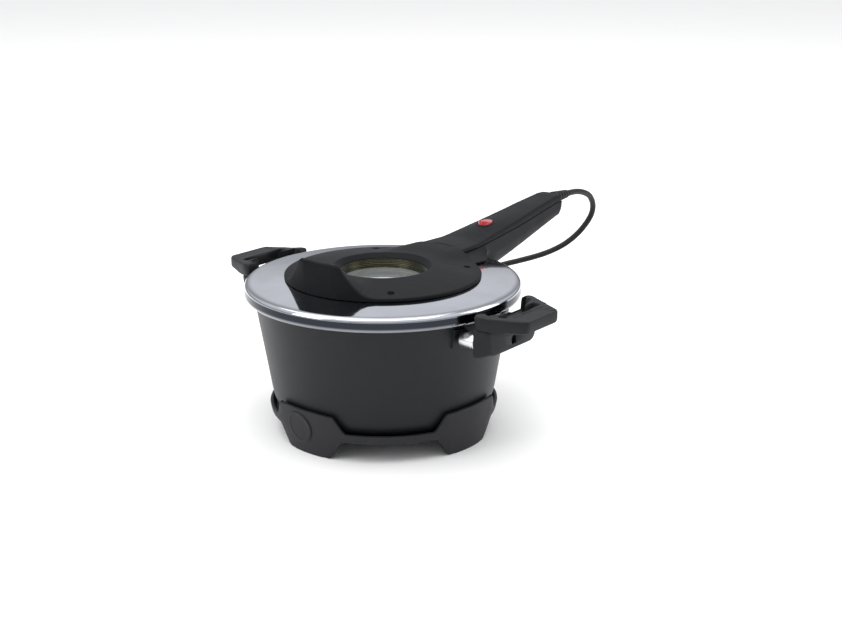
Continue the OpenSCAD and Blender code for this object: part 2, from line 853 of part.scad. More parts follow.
// Flexible sleeve: collar in the handle's end, then a taper with grooves.
module strain_relief() {
    color([0.13, 0.13, 0.14])
        on_axis()
            translate([handle_reach, 0, relief_z])
                rotate([0, 90, 0]) {
                    translate([0, 0, -8])
                        cylinder(h = 8.4, d = relief_d);
                    difference() {
                        cylinder(h = relief_l, d1 = relief_d + 2.6, d2 = cord_d + 1.6);
                        for (i = [1:4])
                            translate([0, 0, i * relief_l / 5.5])
                                rotate_extrude()
                                    translate([cord_d / 2 + 1.2, 0])
                                        square([6, 1.2]);
                    }
                }
}

module cord_tube() {
    color([0.12, 0.12, 0.13])
        on_axis() {
            tube(curve(cord_route, 3), cord_d);
            tube(curve(tail_route, 3), cord_d);
        }
}

module cord_coil() {
    color([0.12, 0.12, 0.13])
        on_axis()
            translate([coil_at[0], coil_at[1], 0])
                rotate_extrude()
                    translate([coil_r - cord_d, 0])
                        square([2 * cord_d, 2 * cord_d]);
}

module cord_tie() {
    w = cord_d + 1;
    color("dimgray")
        on_axis()
            translate([coil_at[0] - coil_r, coil_at[1], 0])
                difference() {
                    translate([-w - 1, -4, 0])
                        cube([2 * w + 2, 8, 2 * cord_d + 1]);
                    translate([-cord_d - 0.4, -5, -1])
                        cube([2 * cord_d + 0.8, 10, 2 * cord_d + 1.1]);
                }
}

module plug_body() {
    color([0.12, 0.12, 0.13])
        on_axis()
            translate(plug_at)
                rotate([-90, 0, 0]) {
                    cylinder(h = 10, d1 = cord_d + 3, d2 = 13);
                    translate([0, 0, 10])
                        hull()
                            for (s = [-1, 1])
                                translate([s * 5, 0, 0]) {
                                    cylinder(h = 8, d = 14, $fn = 32);
                                    translate([s * 5, 0, 20])
                                        cylinder(h = 2, d = 14, $fn = 32);
                                }
                }
}

module plug_pins() {
    color("gold")
        on_axis()
            for (s = [-1, 1])
                translate(plug_at + [s * 9.5, 32, 0])
                    rotate([-90, 0, 0])
                        cylinder(h = 19, d = 4);
}

stand_ring();
stand_badge();
foot_pads();
rest_pads();
pan_shell();
bracket_left();
bracket_right();
ferrules_left();
ferrules_right();
side_handle_left();
side_handle_right();
side_handle_screws();
lid_dome();
reflector();
heating_element();
element_clips();
insulation();
thermostat();
window_ring();
window_glass();
window_seal();
lid_cover();
cover_screws();
handle_lower_shell();
handle_top_shell();
shell_screws();
switch_housing();
switch_rocker();
switch_pin();
indicator_lamp();
terminal_block();
inner_leads();
cord_clamp();
clamp_screws();
strain_relief();
cord_tube();
cord_coil();
cord_tie();
plug_body();
plug_pins();
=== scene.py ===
import bmesh
import bpy
import math
import numpy as np
from mathutils import Matrix, Vector


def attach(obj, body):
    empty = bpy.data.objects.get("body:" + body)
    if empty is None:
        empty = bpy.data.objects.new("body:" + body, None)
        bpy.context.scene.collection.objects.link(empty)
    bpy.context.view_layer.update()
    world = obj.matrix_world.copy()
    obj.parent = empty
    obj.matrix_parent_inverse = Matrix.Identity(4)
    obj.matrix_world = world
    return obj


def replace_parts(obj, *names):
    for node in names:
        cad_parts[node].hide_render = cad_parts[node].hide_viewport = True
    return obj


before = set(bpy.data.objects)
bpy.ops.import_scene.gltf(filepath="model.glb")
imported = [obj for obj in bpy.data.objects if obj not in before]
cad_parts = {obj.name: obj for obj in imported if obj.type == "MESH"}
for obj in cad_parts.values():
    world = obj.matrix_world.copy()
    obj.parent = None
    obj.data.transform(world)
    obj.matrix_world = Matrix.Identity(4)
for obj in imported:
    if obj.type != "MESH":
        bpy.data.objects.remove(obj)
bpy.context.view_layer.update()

# All working sizes are in millimetres from the lid's axis at floor level; MM and LID_X bring them to
# the frame, in metres.
MM = 0.001
LID_X = -68.0


# ---------------------------------------------------------------- camera

eye = Vector((-0.8713, -0.6765, 0.4177))
gaze = Vector((0.7478, 0.5936, -0.2974)).normalized()
across = Vector((0.6217, -0.7832, 0.0)).normalized()
above = across.cross(gaze)
camera_data = bpy.data.cameras.new("camera")
camera_data.lens = 58.06
camera_data.sensor_width = 36.0
camera_data.clip_start = 0.05
camera = bpy.data.objects.new("camera", camera_data)
turn = Matrix((across, above, -gaze)).transposed().to_4x4()
camera.matrix_world = Matrix.Translation(eye) @ turn
bpy.context.scene.collection.objects.link(camera)
bpy.context.scene.camera = camera


# ---------------------------------------------------------------- mesh making

def place(points):
    """Millimetres from the lid's axis to metres in the frame: shift along X by LID_X, then scale."""
    p = np.asarray(points, float).reshape(-1, 3) * MM
    p[:, 0] += LID_X * MM
    return p


def make_mesh(name, points, faces, body, smooth=True, angle=32, uv=None):
    """One mesh object from points and faces, riding on a body. Normals are made to point outwards."""
    mesh = bpy.data.meshes.new(name)
    mesh.from_pydata(place(points).tolist(), [], faces)
    mesh.validate()
    bm = bmesh.new()
    bm.from_mesh(mesh)
    bmesh.ops.remove_doubles(bm, verts=bm.verts, dist=1e-7)
    bmesh.ops.recalc_face_normals(bm, faces=bm.faces)
    bm.to_mesh(mesh)
    bm.free()
    if uv is not None:
        layer = mesh.uv_layers.new(name="UVMap")
        loops = np.empty(len(mesh.loops), dtype=np.int64)
        mesh.loops.foreach_get("vertex_index", loops)
        layer.data.foreach_set("uv", np.asarray(uv, float)[loops].ravel())
    piece = bpy.data.objects.new(name, mesh)
    bpy.context.scene.collection.objects.link(piece)
    mesh.polygons.foreach_set("use_smooth", np.full(len(mesh.polygons), smooth))
    if smooth:
        mesh.set_sharp_from_angle(angle=math.radians(angle))
    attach(piece, body)
    return piece


def grid_faces(rows, cols, wrap_rows, wrap_cols):
    """Quads of a rows x cols grid of points; a wrapped direction joins its last line to its first."""
    i = np.arange(rows if wrap_rows else rows - 1)
    j = np.arange(cols if wrap_cols else cols - 1)
    a, b = np.meshgrid(i, j, indexing="ij")
    c, d = (a + 1) % rows, (b + 1) % cols
    return np.stack([a * cols + b, a * cols + d, c * cols + d, c * cols + b], -1).reshape(-1, 4)


def ring_grid(name, grid, body, angle=32):
    """Closed tube-like surface: grid[i, j] where i goes round one way and j round the other."""
    rows, cols = grid.shape[:2]
    faces = grid_faces(rows, cols, True, True).tolist()
    return make_mesh(name, grid.reshape(-1, 3), faces, body, angle=angle)


def capped_grid(name, grid, body, angle=32, uv=None):
    """Surface of closed rings grid[i], joined one to the next, with its first and last ring closed."""
    rows, cols = grid.shape[:2]
    faces = grid_faces(rows, cols, False, True).tolist()
    faces.append(list(range(cols)))
    faces.append([(rows - 1) * cols + k for k in range(cols)])
    return make_mesh(name, grid.reshape(-1, 3), faces, body, angle=angle, uv=uv)


def rounded(corners, steps=5):
    """Closed outline with its corners rounded: each corner (a, b, r) becomes a quadratic curve that
    leaves and meets its two sides at distance r, or 48 % of the side if that is shorter."""
    c = np.asarray(corners, float)
    here, r = c[:, :2], c[:, 2:3]
    before, after = np.roll(here, 1, 0), np.roll(here, -1, 0)
    out, back = before - here, after - here
    lo = np.linalg.norm(out, axis=1, keepdims=True)
    lb = np.linalg.norm(back, axis=1, keepdims=True)
    start = here + out / lo * np.minimum(r, 0.48 * lo)
    end = here + back / lb * np.minimum(r, 0.48 * lb)
    t = np.linspace(0, 1, steps + 1)[None, :, None]
    line = (1 - t) ** 2 * start[:, None] + 2 * t * (1 - t) * here[:, None] + t * t * end[:, None]
    return line.reshape(-1, 2)


def turned(name, outline, body, steps=192, angle=32, centre=(0, 0), closed=True):
    """Surface of revolution about a vertical axis: outline (r, z) carried round a circle. A closed
    outline makes a ring; an open one starts and ends on the axis."""
    outline = np.asarray(outline, float)
    a = np.linspace(0, 2 * np.pi, steps, endpoint=False)
    r, z = outline[:, 0], outline[:, 1]
    grid = np.stack([
        centre[0] + np.cos(a)[:, None] * r[None], centre[1] + np.sin(a)[:, None] * r[None],
        np.broadcast_to(z[None], (steps, len(z)))], -1)
    if closed:
        return ring_grid(name, grid, body, angle)
    rows, cols = grid.shape[:2]
    faces = grid_faces(rows, cols, True, False).tolist()
    return make_mesh(name, grid.reshape(-1, 3), faces, body, angle=angle)


def sideways(name, outline, body, at, along, steps=64, angle=32):
    """Closed ring of revolution about a level axis through at: outline (distance along, radius)."""
    outline = np.asarray(outline, float)
    along = np.asarray(along, float) / np.linalg.norm(along)
    side = np.cross(along, (0, 0, 1.0))
    side /= np.linalg.norm(side)
    up = np.cross(side, along)
    a = np.linspace(0, 2 * np.pi, steps, endpoint=False)
    spoke = np.cos(a)[:, None] * side + np.sin(a)[:, None] * up
    grid = (np.asarray(at, float) + outline[None, :, :1] * along
            + outline[None, :, 1:2] * spoke[:, None, :])
    return ring_grid(name, grid, body, angle)


def smooth01(t):
    """Smooth step: 3 t squared less 2 t cubed, held between 0 and 1."""
    t = np.clip(t, 0, 1)
    return t * t * (3 - 2 * t)


def mix(a, b, t):
    return a + (b - a) * t


# ---------------------------------------------------------------- cord

CORD_D = 5.6
COIL_X, COIL_Y = 126, 106
ROUTE = np.array([
    [271, 0, 146.6], [286, 0, 146], [300, 0, 143], [314, 1, 137], [324, 3, 127], [328, 6, 117],
    [327, 10, 108], [321, 16, 97], [312, 24, 87], [302, 33, 80], [290, 43, 75], [275, 55, 71],
    [255, 68, 67], [232, 84, 57], [208, 102, 42], [184, 121, 25], [164, 134, 14], [146, 140, 8],
    [126, 142, 4]], float)
TAIL = np.array([[160, 108, 6], [161, 122, 3], [161, 136, 3], [161, 150, 3], [160, 162, 6]], float)


def through(points, steps):
    """Smooth curve through the points: the Catmull-Rom cubic between each two neighbours."""
    p = np.vstack([points[:1], points, points[-1:]])
    a, b, c, d = (p[i:len(p) - 3 + i, None, :] for i in range(4))
    t = np.linspace(0, 1, steps, endpoint=False)[None, :, None]
    line = 0.5 * (2 * b + (c - a) * t + (2 * a - 5 * b + 4 * c - d) * t ** 2
                  + (3 * b - a - 3 * c + d) * t ** 3)
    return np.vstack([line.reshape(-1, 3), points[-1:]])


def coil_line():
    """Wound line round the coil's middle: starts at the far side, goes counter-clockwise. The radius
    steps from outer to inner turn on the floor, then a turn lies on those two, a diameter higher."""
    turns = np.linspace(0, 3.75, 200)[1:-1]
    stage = np.array([0.0, 0.85, 1.15, 1.85, 2.15, 3.3, 3.75])
    radius = np.interp(turns, stage, [35.6, 35.6, 30.0, 30.0, 32.8, 32.8, 34.0])
    height = np.interp(turns, stage, [2.9, 2.9, 2.9, 2.9, 7.9, 7.9, 6.6])
    angle = np.pi / 2 + 2 * np.pi * turns
    return np.stack([COIL_X + radius * np.cos(angle), COIL_Y + radius * np.sin(angle), height], -1)


def even_out(line, steps):
    """The same line with its points at equal distances."""
    s = np.concatenate([[0], np.cumsum(np.linalg.norm(np.diff(line, axis=0), axis=1))])
    at = np.linspace(0, s[-1], steps)
    return np.stack([np.interp(at, s, line[:, k]) for k in range(3)], -1), s[-1]


def swept(name, line, d, body, sides=16):
    """Round tube: a circle of diameter d carried square to the line. Each ring's first spoke is kept
    from turning by taking the part of the one before that is square to the new direction."""
    heading = np.gradient(line, axis=0)
    heading /= np.linalg.norm(heading, axis=1, keepdims=True)
    spoke = np.zeros_like(line)
    spoke[0] = np.cross(heading[0], (0, 0, 1.0))
    for i in range(1, len(line)):
        spoke[i] = spoke[i - 1] - heading[i] * spoke[i - 1].dot(heading[i])
        spoke[i] /= np.linalg.norm(spoke[i])
    other = np.cross(heading, spoke)
    a = np.linspace(0, 2 * np.pi, sides, endpoint=False)[None, :, None]
    grid = line[:, None] + d / 2 * (np.cos(a) * spoke[:, None] + np.sin(a) * other[:, None])
    run = np.arange(len(line)) * np.linalg.norm(line[1] - line[0]) * 0.001
    uv = np.stack(np.broadcast_arrays(run[:, None], a[:, :, 0] / (2 * np.pi)), -1).reshape(-1, 2)
    return capped_grid(name, grid, body, angle=60, uv=uv)


# The joints between run, coil and tail are eased by averaging each point with its neighbours.
rough_line = np.vstack([through(ROUTE, 8)[:-1], ROUTE[-1:], coil_line(), through(TAIL, 6)])
cord_line, _ = even_out(rough_line, 700)
for _ in range(6):
    cord_line[1:-1] = cord_line[1:-1] * 0.5 + (cord_line[:-2] + cord_line[2:]) * 0.25
cord_line, cord_mm = even_out(cord_line, 620)
cord_line[:, 2] = np.maximum(cord_line[:, 2], CORD_D / 2)
mains_cord = swept("mains_cord", cord_line, CORD_D, "lid")
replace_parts(mains_cord, "cord_tube", "cord_coil")


# ---------------------------------------------------------------- materials

def node_group(name, inputs, outputs):
    """New shader node group with float, vector or colour sockets, and its input and output nodes."""
    tree = bpy.data.node_groups.new(name, "ShaderNodeTree")
    for label, kind, value in inputs:
        socket = tree.interface.new_socket(name=label, in_out="INPUT", socket_type=kind)
        if value is not None:
            socket.default_value = value
    for label, kind in outputs:
        tree.interface.new_socket(name=label, in_out="OUTPUT", socket_type=kind)
    return tree, tree.nodes.new("NodeGroupInput"), tree.nodes.new("NodeGroupOutput")


def math_node(nodes, links, operation, a, b=None, c=None, clamp=False):
    node = nodes.new("ShaderNodeMath")
    node.operation = operation
    node.use_clamp = clamp
    for socket, value in zip(node.inputs, (a, b, c)):
        if value is None:
            continue
        if isinstance(value, (int, float)):
            socket.default_value = value
        else:
            links.new(value, socket)
    return node.outputs[0]


def noise_node(nodes, links, vector, scale, detail=3.0, rough=0.55):
    node = nodes.new("ShaderNodeTexNoise")
    if isinstance(scale, (int, float)):
        node.inputs["Scale"].default_value = scale
    else:
        links.new(scale, node.inputs["Scale"])
    node.inputs["Detail"].default_value = detail
    node.inputs["Roughness"].default_value = rough
    links.new(vector, node.inputs["Vector"])
    return node.outputs["Fac"]


FLOAT, VECTOR = "NodeSocketFloat", "NodeSocketVector"


def build_grain_group():
    """Moulded grain: fine spark-eroded pits, broad tone patches and a few handling rubs."""
    tree, gin, gout = node_group(
        "moulded grain",
        [("Vector", VECTOR, None), ("Pit scale", FLOAT, 1400.0), ("Rub amount", FLOAT, 0.3)],
        [("Height", FLOAT), ("Tone", FLOAT), ("Rub", FLOAT)])
    n, k = tree.nodes, tree.links
    v = gin.outputs["Vector"]
    pits = noise_node(n, k, v, gin.outputs["Pit scale"], 4.0, 0.6)
    patch = noise_node(n, k, v, 26.0, 4.0, 0.6)
    rub = noise_node(n, k, v, 90.0, 6.0, 0.7)
    rub = math_node(n, k, "SUBTRACT", rub, 0.56, clamp=True)
    rub = math_node(n, k, "MULTIPLY", rub, gin.outputs["Rub amount"])
    k.new(pits, gout.inputs["Height"])
    k.new(patch, gout.inputs["Tone"])
    k.new(math_node(n, k, "MULTIPLY", rub, 6.0, clamp=True), gout.inputs["Rub"])
    return tree


def build_polish_group():
    """Polished sheet: faint turned lines round the axis, fine cross scratches and soft smudges."""
    tree, gin, gout = node_group(
        "metal polish", [("Vector", VECTOR, None), ("Line scale", FLOAT, 900.0)],
        [("Height", FLOAT), ("Smudge", FLOAT), ("Scratch", FLOAT)])
    n, k = tree.nodes, tree.links
    v = gin.outputs["Vector"]
    split = n.new("ShaderNodeSeparateXYZ")
    k.new(v, split.inputs[0])
    xx = math_node(n, k, "MULTIPLY", split.outputs[0], split.outputs[0])
    yy = math_node(n, k, "MULTIPLY", split.outputs[1], split.outputs[1])
    radius = math_node(n, k, "SQRT", math_node(n, k, "ADD", xx, yy))
    joined = n.new("ShaderNodeCombineXYZ")
    k.new(radius, joined.inputs[0])
    k.new(split.outputs[2], joined.inputs[1])
    lines = noise_node(n, k, joined.outputs[0], gin.outputs["Line scale"], 2.0, 0.5)
    smudge = noise_node(n, k, v, 32.0, 4.0, 0.62)
    stretch = n.new("ShaderNodeMapping")
    stretch.inputs["Scale"].default_value = (60.0, 1500.0, 60.0)
    stretch.inputs["Rotation"].default_value = (0.0, 0.0, 0.7)
    k.new(v, stretch.inputs["Vector"])
    fine = noise_node(n, k, stretch.outputs[0], 1.0, 2.0, 0.5)
    fine = math_node(n, k, "GREATER_THAN", fine, 0.71)
    k.new(lines, gout.inputs["Height"])
    k.new(smudge, gout.inputs["Smudge"])
    k.new(fine, gout.inputs["Scratch"])
    return tree


def build_dust_group():
    """Settled dust: strongest where the surface faces up, broken by noise."""
    tree, gin, gout = node_group("settled dust", [("Vector", VECTOR, None), ("Normal", VECTOR, None)],
                                 [("Mask", FLOAT)])
    n, k = tree.nodes, tree.links
    split = n.new("ShaderNodeSeparateXYZ")
    k.new(gin.outputs["Normal"], split.inputs[0])
    facing = math_node(n, k, "SUBTRACT", split.outputs[2], 0.55, clamp=True)
    speck = noise_node(n, k, gin.outputs["Vector"], 380.0, 5.0, 0.7)
    speck = math_node(n, k, "SUBTRACT", speck, 0.45, clamp=True)
    k.new(math_node(n, k, "MULTIPLY", facing, speck), gout.inputs["Mask"])
    return tree


GRAIN = build_grain_group()
POLISH = build_polish_group()
DUST = build_dust_group()


def linear(r, g, b):
    """Screen colour 0 to 255 to linear light, with alpha."""
    c = np.array([r, g, b]) / 255.0
    c = np.where(c <= 0.04045, c / 12.92, ((c + 0.055) / 1.055) ** 2.4)
    return (float(c[0]), float(c[1]), float(c[2]), 1.0)


def new_material(name, sockets):
    material = bpy.data.materials.new(name)
    material.use_nodes = True
    n, k = material.node_tree.nodes, material.node_tree.links
    shader = n["Principled BSDF"]
    for label, value in sockets.items():
        shader.inputs[label].default_value = value
    where = n.new("ShaderNodeTexCoord").outputs["Object"]
    return material, n, k, shader, where


def ramp(n, k, value, lo, hi, out_lo, out_hi):
    """Value from lo..hi mapped to out_lo..out_hi, held at the ends."""
    node = n.new("ShaderNodeMapRange")
    node.inputs["From Min"].default_value = lo
    node.inputs["From Max"].default_value = hi
    node.inputs["To Min"].default_value = out_lo
    node.inputs["To Max"].default_value = out_hi
    k.new(value, node.inputs["Value"])
    return node.outputs[0]


def two_tone(n, k, factor, dark, light):
    node = n.new("ShaderNodeMix")
    node.data_type = "RGBA"
    node.inputs["A"].default_value = dark
    node.inputs["B"].default_value = light
    k.new(factor, node.inputs["Factor"])
    return node.outputs["Result"]


def add_bump(n, k, shader, height, distance, strength):
    bump = n.new("ShaderNodeBump")
    bump.inputs["Distance"].default_value = distance
    bump.inputs["Strength"].default_value = strength
    k.new(height, bump.inputs["Height"])
    k.new(bump.outputs[0], shader.inputs["Normal"])


def moulded(name, dark, light, rough=(0.42, 0.56), pit=1400.0, bump=0.25, rub=0.3, dust=0.25, spec=0.5):
    """Moulded plastic: grain bump, uneven tone, worn glossier rubs and a little settled dust."""
    material, n, k, shader, where = new_material(name, {"Specular IOR Level": spec})
    grain = n.new("ShaderNodeGroup")
    grain.node_tree = GRAIN
    grain.inputs["Pit scale"].default_value = pit
    grain.inputs["Rub amount"].default_value = rub
    k.new(where, grain.inputs["Vector"])
    tone = two_tone(n, k, ramp(n, k, grain.outputs["Tone"], 0.3, 0.7, 0, 1), dark, light)
    sift = n.new("ShaderNodeGroup")
    sift.node_tree = DUST
    k.new(where, sift.inputs["Vector"])
    k.new(n.new("ShaderNodeNewGeometry").outputs["Normal"], sift.inputs["Normal"])
    amount = math_node(n, k, "MULTIPLY", sift.outputs["Mask"], dust)
    dusty = n.new("ShaderNodeMix")
    dusty.data_type = "RGBA"
    dusty.inputs["B"].default_value = linear(150, 150, 152)
    k.new(amount, dusty.inputs["Factor"])
    k.new(tone, dusty.inputs["A"])
    k.new(dusty.outputs["Result"], shader.inputs["Base Color"])
    base = ramp(n, k, grain.outputs["Tone"], 0.3, 0.7, rough[0], rough[1])
    k.new(math_node(n, k, "SUBTRACT", base, math_node(n, k, "MULTIPLY", grain.outputs["Rub"], 0.14)),
          shader.inputs["Roughness"])
    add_bump(n, k, shader, grain.outputs["Height"], 0.0002, bump)
    return material


def polished(name, colour, rough=(0.06, 0.14), lines=900.0, bump=0.02, scratch=0.12):
    """Polished or drawn metal: turned lines, smudges that dull it and fine scratches."""
    material, n, k, shader, where = new_material(name, {"Metallic": 1.0})
    centred = n.new("ShaderNodeMapping")
    centred.inputs["Location"].default_value = (-LID_X * MM, 0.0, 0.0)
    k.new(where, centred.inputs["Vector"])
    sheen = n.new("ShaderNodeGroup")
    sheen.node_tree = POLISH
    sheen.inputs["Line scale"].default_value = lines
    k.new(centred.outputs[0], sheen.inputs["Vector"])
    darker = tuple(0.9 * c for c in colour[:3]) + (1.0,)
    k.new(two_tone(n, k, ramp(n, k, sheen.outputs["Smudge"], 0.35, 0.65, 0, 1), darker, colour),
          shader.inputs["Base Color"])
    dull = ramp(n, k, sheen.outputs["Smudge"], 0.35, 0.7, rough[0], rough[1])
    k.new(math_node(n, k, "ADD", dull, math_node(n, k, "MULTIPLY", sheen.outputs["Scratch"], scratch)),
          shader.inputs["Roughness"])
    add_bump(n, k, shader, sheen.outputs["Height"], 0.0001, bump)
    return material


black_shell = moulded("black moulded shell", linear(14, 15, 18), linear(21, 22, 25),
                      dust=0.02, spec=0.1)
cover_plastic = moulded("cover plastic", linear(13, 14, 17), linear(20, 21, 24),
                        rough=(0.42, 0.54), dust=0.02, spec=0.08)
grip_plastic = moulded("grip plastic", linear(18, 20, 23), linear(26, 28, 31),
                       rough=(0.44, 0.58), pit=1100.0, dust=0.15, spec=0.22)
stand_plastic = moulded("stand plastic", linear(26, 26, 29), linear(33, 33, 37),
                        rough=(0.5, 0.64), dust=0.1, spec=0.3)
dark_plastic = moulded("dark inner plastic", linear(20, 20, 22), linear(30, 30, 32),
                       rough=(0.5, 0.7), dust=0.1)
# Painted shade: near-black, matt plastic coloured into the screw wells for the shade inside them.
painted_well_shade = moulded("painted well shade", linear(5, 5, 6), linear(9, 9, 10),
                     rough=(0.8, 0.95), dust=0.0, spec=0.05)
ivory_plastic = moulded("ivory terminal plastic", linear(196, 190, 170), linear(215, 210, 192),
                        pit=900.0)
rubber = moulded("rubber pad", linear(40, 40, 41), linear(52, 52, 53),
                 rough=(0.75, 0.9), pit=700.0, bump=0.5)
seal_rubber = moulded("red seal rubber", linear(88, 24, 20), linear(116, 36, 30),
                      rough=(0.6, 0.8), pit=800.0)
board = moulded("pressed insulation board", linear(176, 166, 142), linear(204, 196, 172),
                rough=(0.85, 0.97),
                pit=420.0, bump=0.8)
relief_rubber = moulded("relief rubber", linear(24, 25, 27), linear(32, 33, 35),
                        rough=(0.5, 0.66), pit=900.0, spec=0.3)
bright_steel = polished("bright steel", (0.66, 0.66, 0.67, 1.0), rough=(0.14, 0.26))
bare_steel = polished("bare steel", (0.56, 0.56, 0.57, 1.0), rough=(0.26, 0.42), bump=0.08)
reflector_metal = polished("reflector metal", (0.77, 0.77, 0.78, 1.0), rough=(0.18, 0.3), bump=0.05)
element_metal = polished("heated element tube", (0.22, 0.2, 0.19, 1.0), rough=(0.42, 0.6), bump=0.2)
brass = polished("pin brass", (0.78, 0.6, 0.3, 1.0), rough=(0.16, 0.3))


def make_lid_steel():
    """Polished dome with a rolled rim, with painted dark reflection and shade: the rim's colour is
    darkened in bands that follow the height, as painted reflection below its widest line and at its lower
    roll, and as painted shade at the crease where it meets the dome."""
    material = polished("polished lid steel", (0.60, 0.62, 0.67, 1.0), rough=(0.05, 0.1))
    n, k = material.node_tree.nodes, material.node_tree.links
    shader = n["Principled BSDF"]
    base = shader.inputs["Base Color"].links[0].from_socket
    rough = shader.inputs["Roughness"].links[0].from_socket
    split = n.new("ShaderNodeSeparateXYZ")
    k.new(n.new("ShaderNodeTexCoord").outputs["Object"], split.inputs[0])
    # Painted dark reflection and shade: these bands by height blend the rim's colour towards near black.
    painted_rim_bands = n.new("ShaderNodeValToRGB")
    for level, shade in ((0.0, 0.7), (0.2, 0.55), (0.34, 1.0), (0.66, 1.0), (0.74, 0.0),
                         (0.87, 0.0), (0.91, 0.6), (0.945, 0.55), (0.965, 0.0)):
        stop = painted_rim_bands.color_ramp.elements.new(level)
        stop.color = (shade, shade, shade, 1.0)
    painted_rim_bands.color_ramp.elements.remove(painted_rim_bands.color_ramp.elements[-1])
    k.new(ramp(n, k, split.outputs[2], 0.1105, 0.1240, 0.0, 1.0), painted_rim_bands.inputs["Fac"])
    low = painted_rim_bands.outputs["Color"]
    painted_rim_darkening = n.new("ShaderNodeMix")
    painted_rim_darkening.data_type = "RGBA"
    painted_rim_darkening.inputs["B"].default_value = (0.03, 0.032, 0.04, 1.0)
    k.new(low, painted_rim_darkening.inputs["Factor"])
    k.new(base, painted_rim_darkening.inputs["A"])
    k.new(painted_rim_darkening.outputs["Result"], shader.inputs["Base Color"])
    k.new(math_node(n, k, "MULTIPLY_ADD", low, 0.12, rough), shader.inputs["Roughness"])
    return material


def make_pan_coat():
    """Dark satin coat on aluminium: fine metallic fleck, soft cloudy gloss and a clear top coat."""
    material, n, k, shader, where = new_material("pan coating", {
        "Coat Roughness": 0.4, "Specular IOR Level": 0.2, "Metallic": 0.0})
    fleck = noise_node(n, k, where, 2400.0, 2.0, 0.6)
    cloud = noise_node(n, k, where, 18.0, 4.0, 0.6)
    k.new(two_tone(n, k, ramp(n, k, fleck, 0.4, 0.7, 0, 1), linear(13, 15, 19), linear(23, 26, 31)),
          shader.inputs["Base Color"])
    k.new(ramp(n, k, cloud, 0.3, 0.7, 0.4, 0.5), shader.inputs["Roughness"])
    k.new(ramp(n, k, cloud, 0.3, 0.7, 0.08, 0.15), shader.inputs["Coat Weight"])
    add_bump(n, k, shader, fleck, 0.0001, 0.12)
    return material


def make_window_steel():
    """Stepped sleeve with heat tint: fine rings by height and a straw to green tinge."""
    material, n, k, shader, where = new_material("window sleeve steel", {"Metallic": 1.0})
    split = n.new("ShaderNodeSeparateXYZ")
    k.new(where, split.inputs[0])
    rings = n.new("ShaderNodeTexWave")
    rings.wave_type = "BANDS"
    rings.bands_direction = "Z"
    rings.inputs["Scale"].default_value = 260.0
    rings.inputs["Distortion"].default_value = 0.4
    k.new(where, rings.inputs["Vector"])
    k.new(two_tone(n, k, rings.outputs["Fac"], (0.008, 0.008, 0.007, 1.0), (0.055, 0.053, 0.032, 1.0)),
          shader.inputs["Base Color"])
    k.new(ramp(n, k, noise_node(n, k, where, 300.0), 0.3, 0.7, 0.14, 0.3), shader.inputs["Roughness"])
    add_bump(n, k, shader, rings.outputs["Fac"], 0.0004, 0.5)
    return material


def make_glass():
    """Thick clear glass with a faint green-grey body and wiped film on it."""
    material, n, k, shader, where = new_material("window glass", {
        "Transmission Weight": 0.15, "IOR": 1.5, "Metallic": 0.85})
    film = noise_node(n, k, where, 60.0, 4.0, 0.6)
    wiped = ramp(n, k, film, 0.35, 0.7, 0, 1)
    k.new(two_tone(n, k, wiped, (0.82, 0.87, 0.88, 1), (0.92, 0.95, 0.96, 1)), shader.inputs["Base Color"])
    k.new(ramp(n, k, film, 0.3, 0.7, 0.02, 0.08), shader.inputs["Roughness"])
    return material


def make_rocker_red():
    """Translucent red rocker with a painted glow: its emission stands in for light. Cloudy in tone, with
    fine mould pits.
    """
    material, n, k, shader, where = new_material("red rocker lens", {
        "Coat Weight": 0.6, "Coat Roughness": 0.08, "Emission Strength": 0.5})
    pits = noise_node(n, k, where, 900.0, 3.0, 0.6)
    cloud = noise_node(n, k, where, 160.0, 3.0, 0.6)
    k.new(two_tone(n, k, cloud, (0.22, 0.012, 0.018, 1), (0.42, 0.035, 0.04, 1)),
          shader.inputs["Base Color"])
    # Painted glow: this emission makes the rocker shine, though no lamp lights it.
    k.new(two_tone(n, k, cloud, (0.10, 0.004, 0.006, 1), (0.32, 0.02, 0.025, 1)),
          shader.inputs["Emission Color"])
    k.new(ramp(n, k, cloud, 0.3, 0.7, 0.14, 0.26), shader.inputs["Roughness"])
    add_bump(n, k, shader, pits, 0.0001, 0.15)
    return material


def make_sheath():
    """Cord sheath: fine lengthwise draw lines by the cord's own map, and soft bloom."""
    material, n, k, shader, where = new_material("cord sheath", {"Specular IOR Level": 0.25})
    own = n.new("ShaderNodeTexCoord").outputs["UV"]
    lines = n.new("ShaderNodeMapping")
    lines.inputs["Scale"].default_value = (30.0, 24.0, 1.0)
    k.new(own, lines.inputs["Vector"])
    draw = noise_node(n, k, lines.outputs[0], 1.0, 4.0, 0.6)
    bloom = noise_node(n, k, where, 120.0, 4.0, 0.6)
    k.new(two_tone(n, k, bloom, linear(14, 14, 15), linear(24, 24, 25)), shader.inputs["Base Color"])
    k.new(ramp(n, k, draw, 0.3, 0.7, 0.38, 0.56), shader.inputs["Roughness"])
    add_bump(n, k, shader, draw, 0.0003, 0.3)
    return material


def make_lead():
    """Silicone-covered lead: woven sleeve pattern in pale rust, matt."""
    material, n, k, shader, where = new_material("inner lead sleeve", {})
    weave = noise_node(n, k, where, 900.0, 2.0, 0.5)
    k.new(two_tone(n, k, weave, linear(150, 92, 60), linear(192, 138, 98)), shader.inputs["Base Color"])
    k.new(ramp(n, k, weave, 0.3, 0.7, 0.6, 0.85), shader.inputs["Roughness"])
    add_bump(n, k, shader, weave, 0.0003, 0.5)
    return material


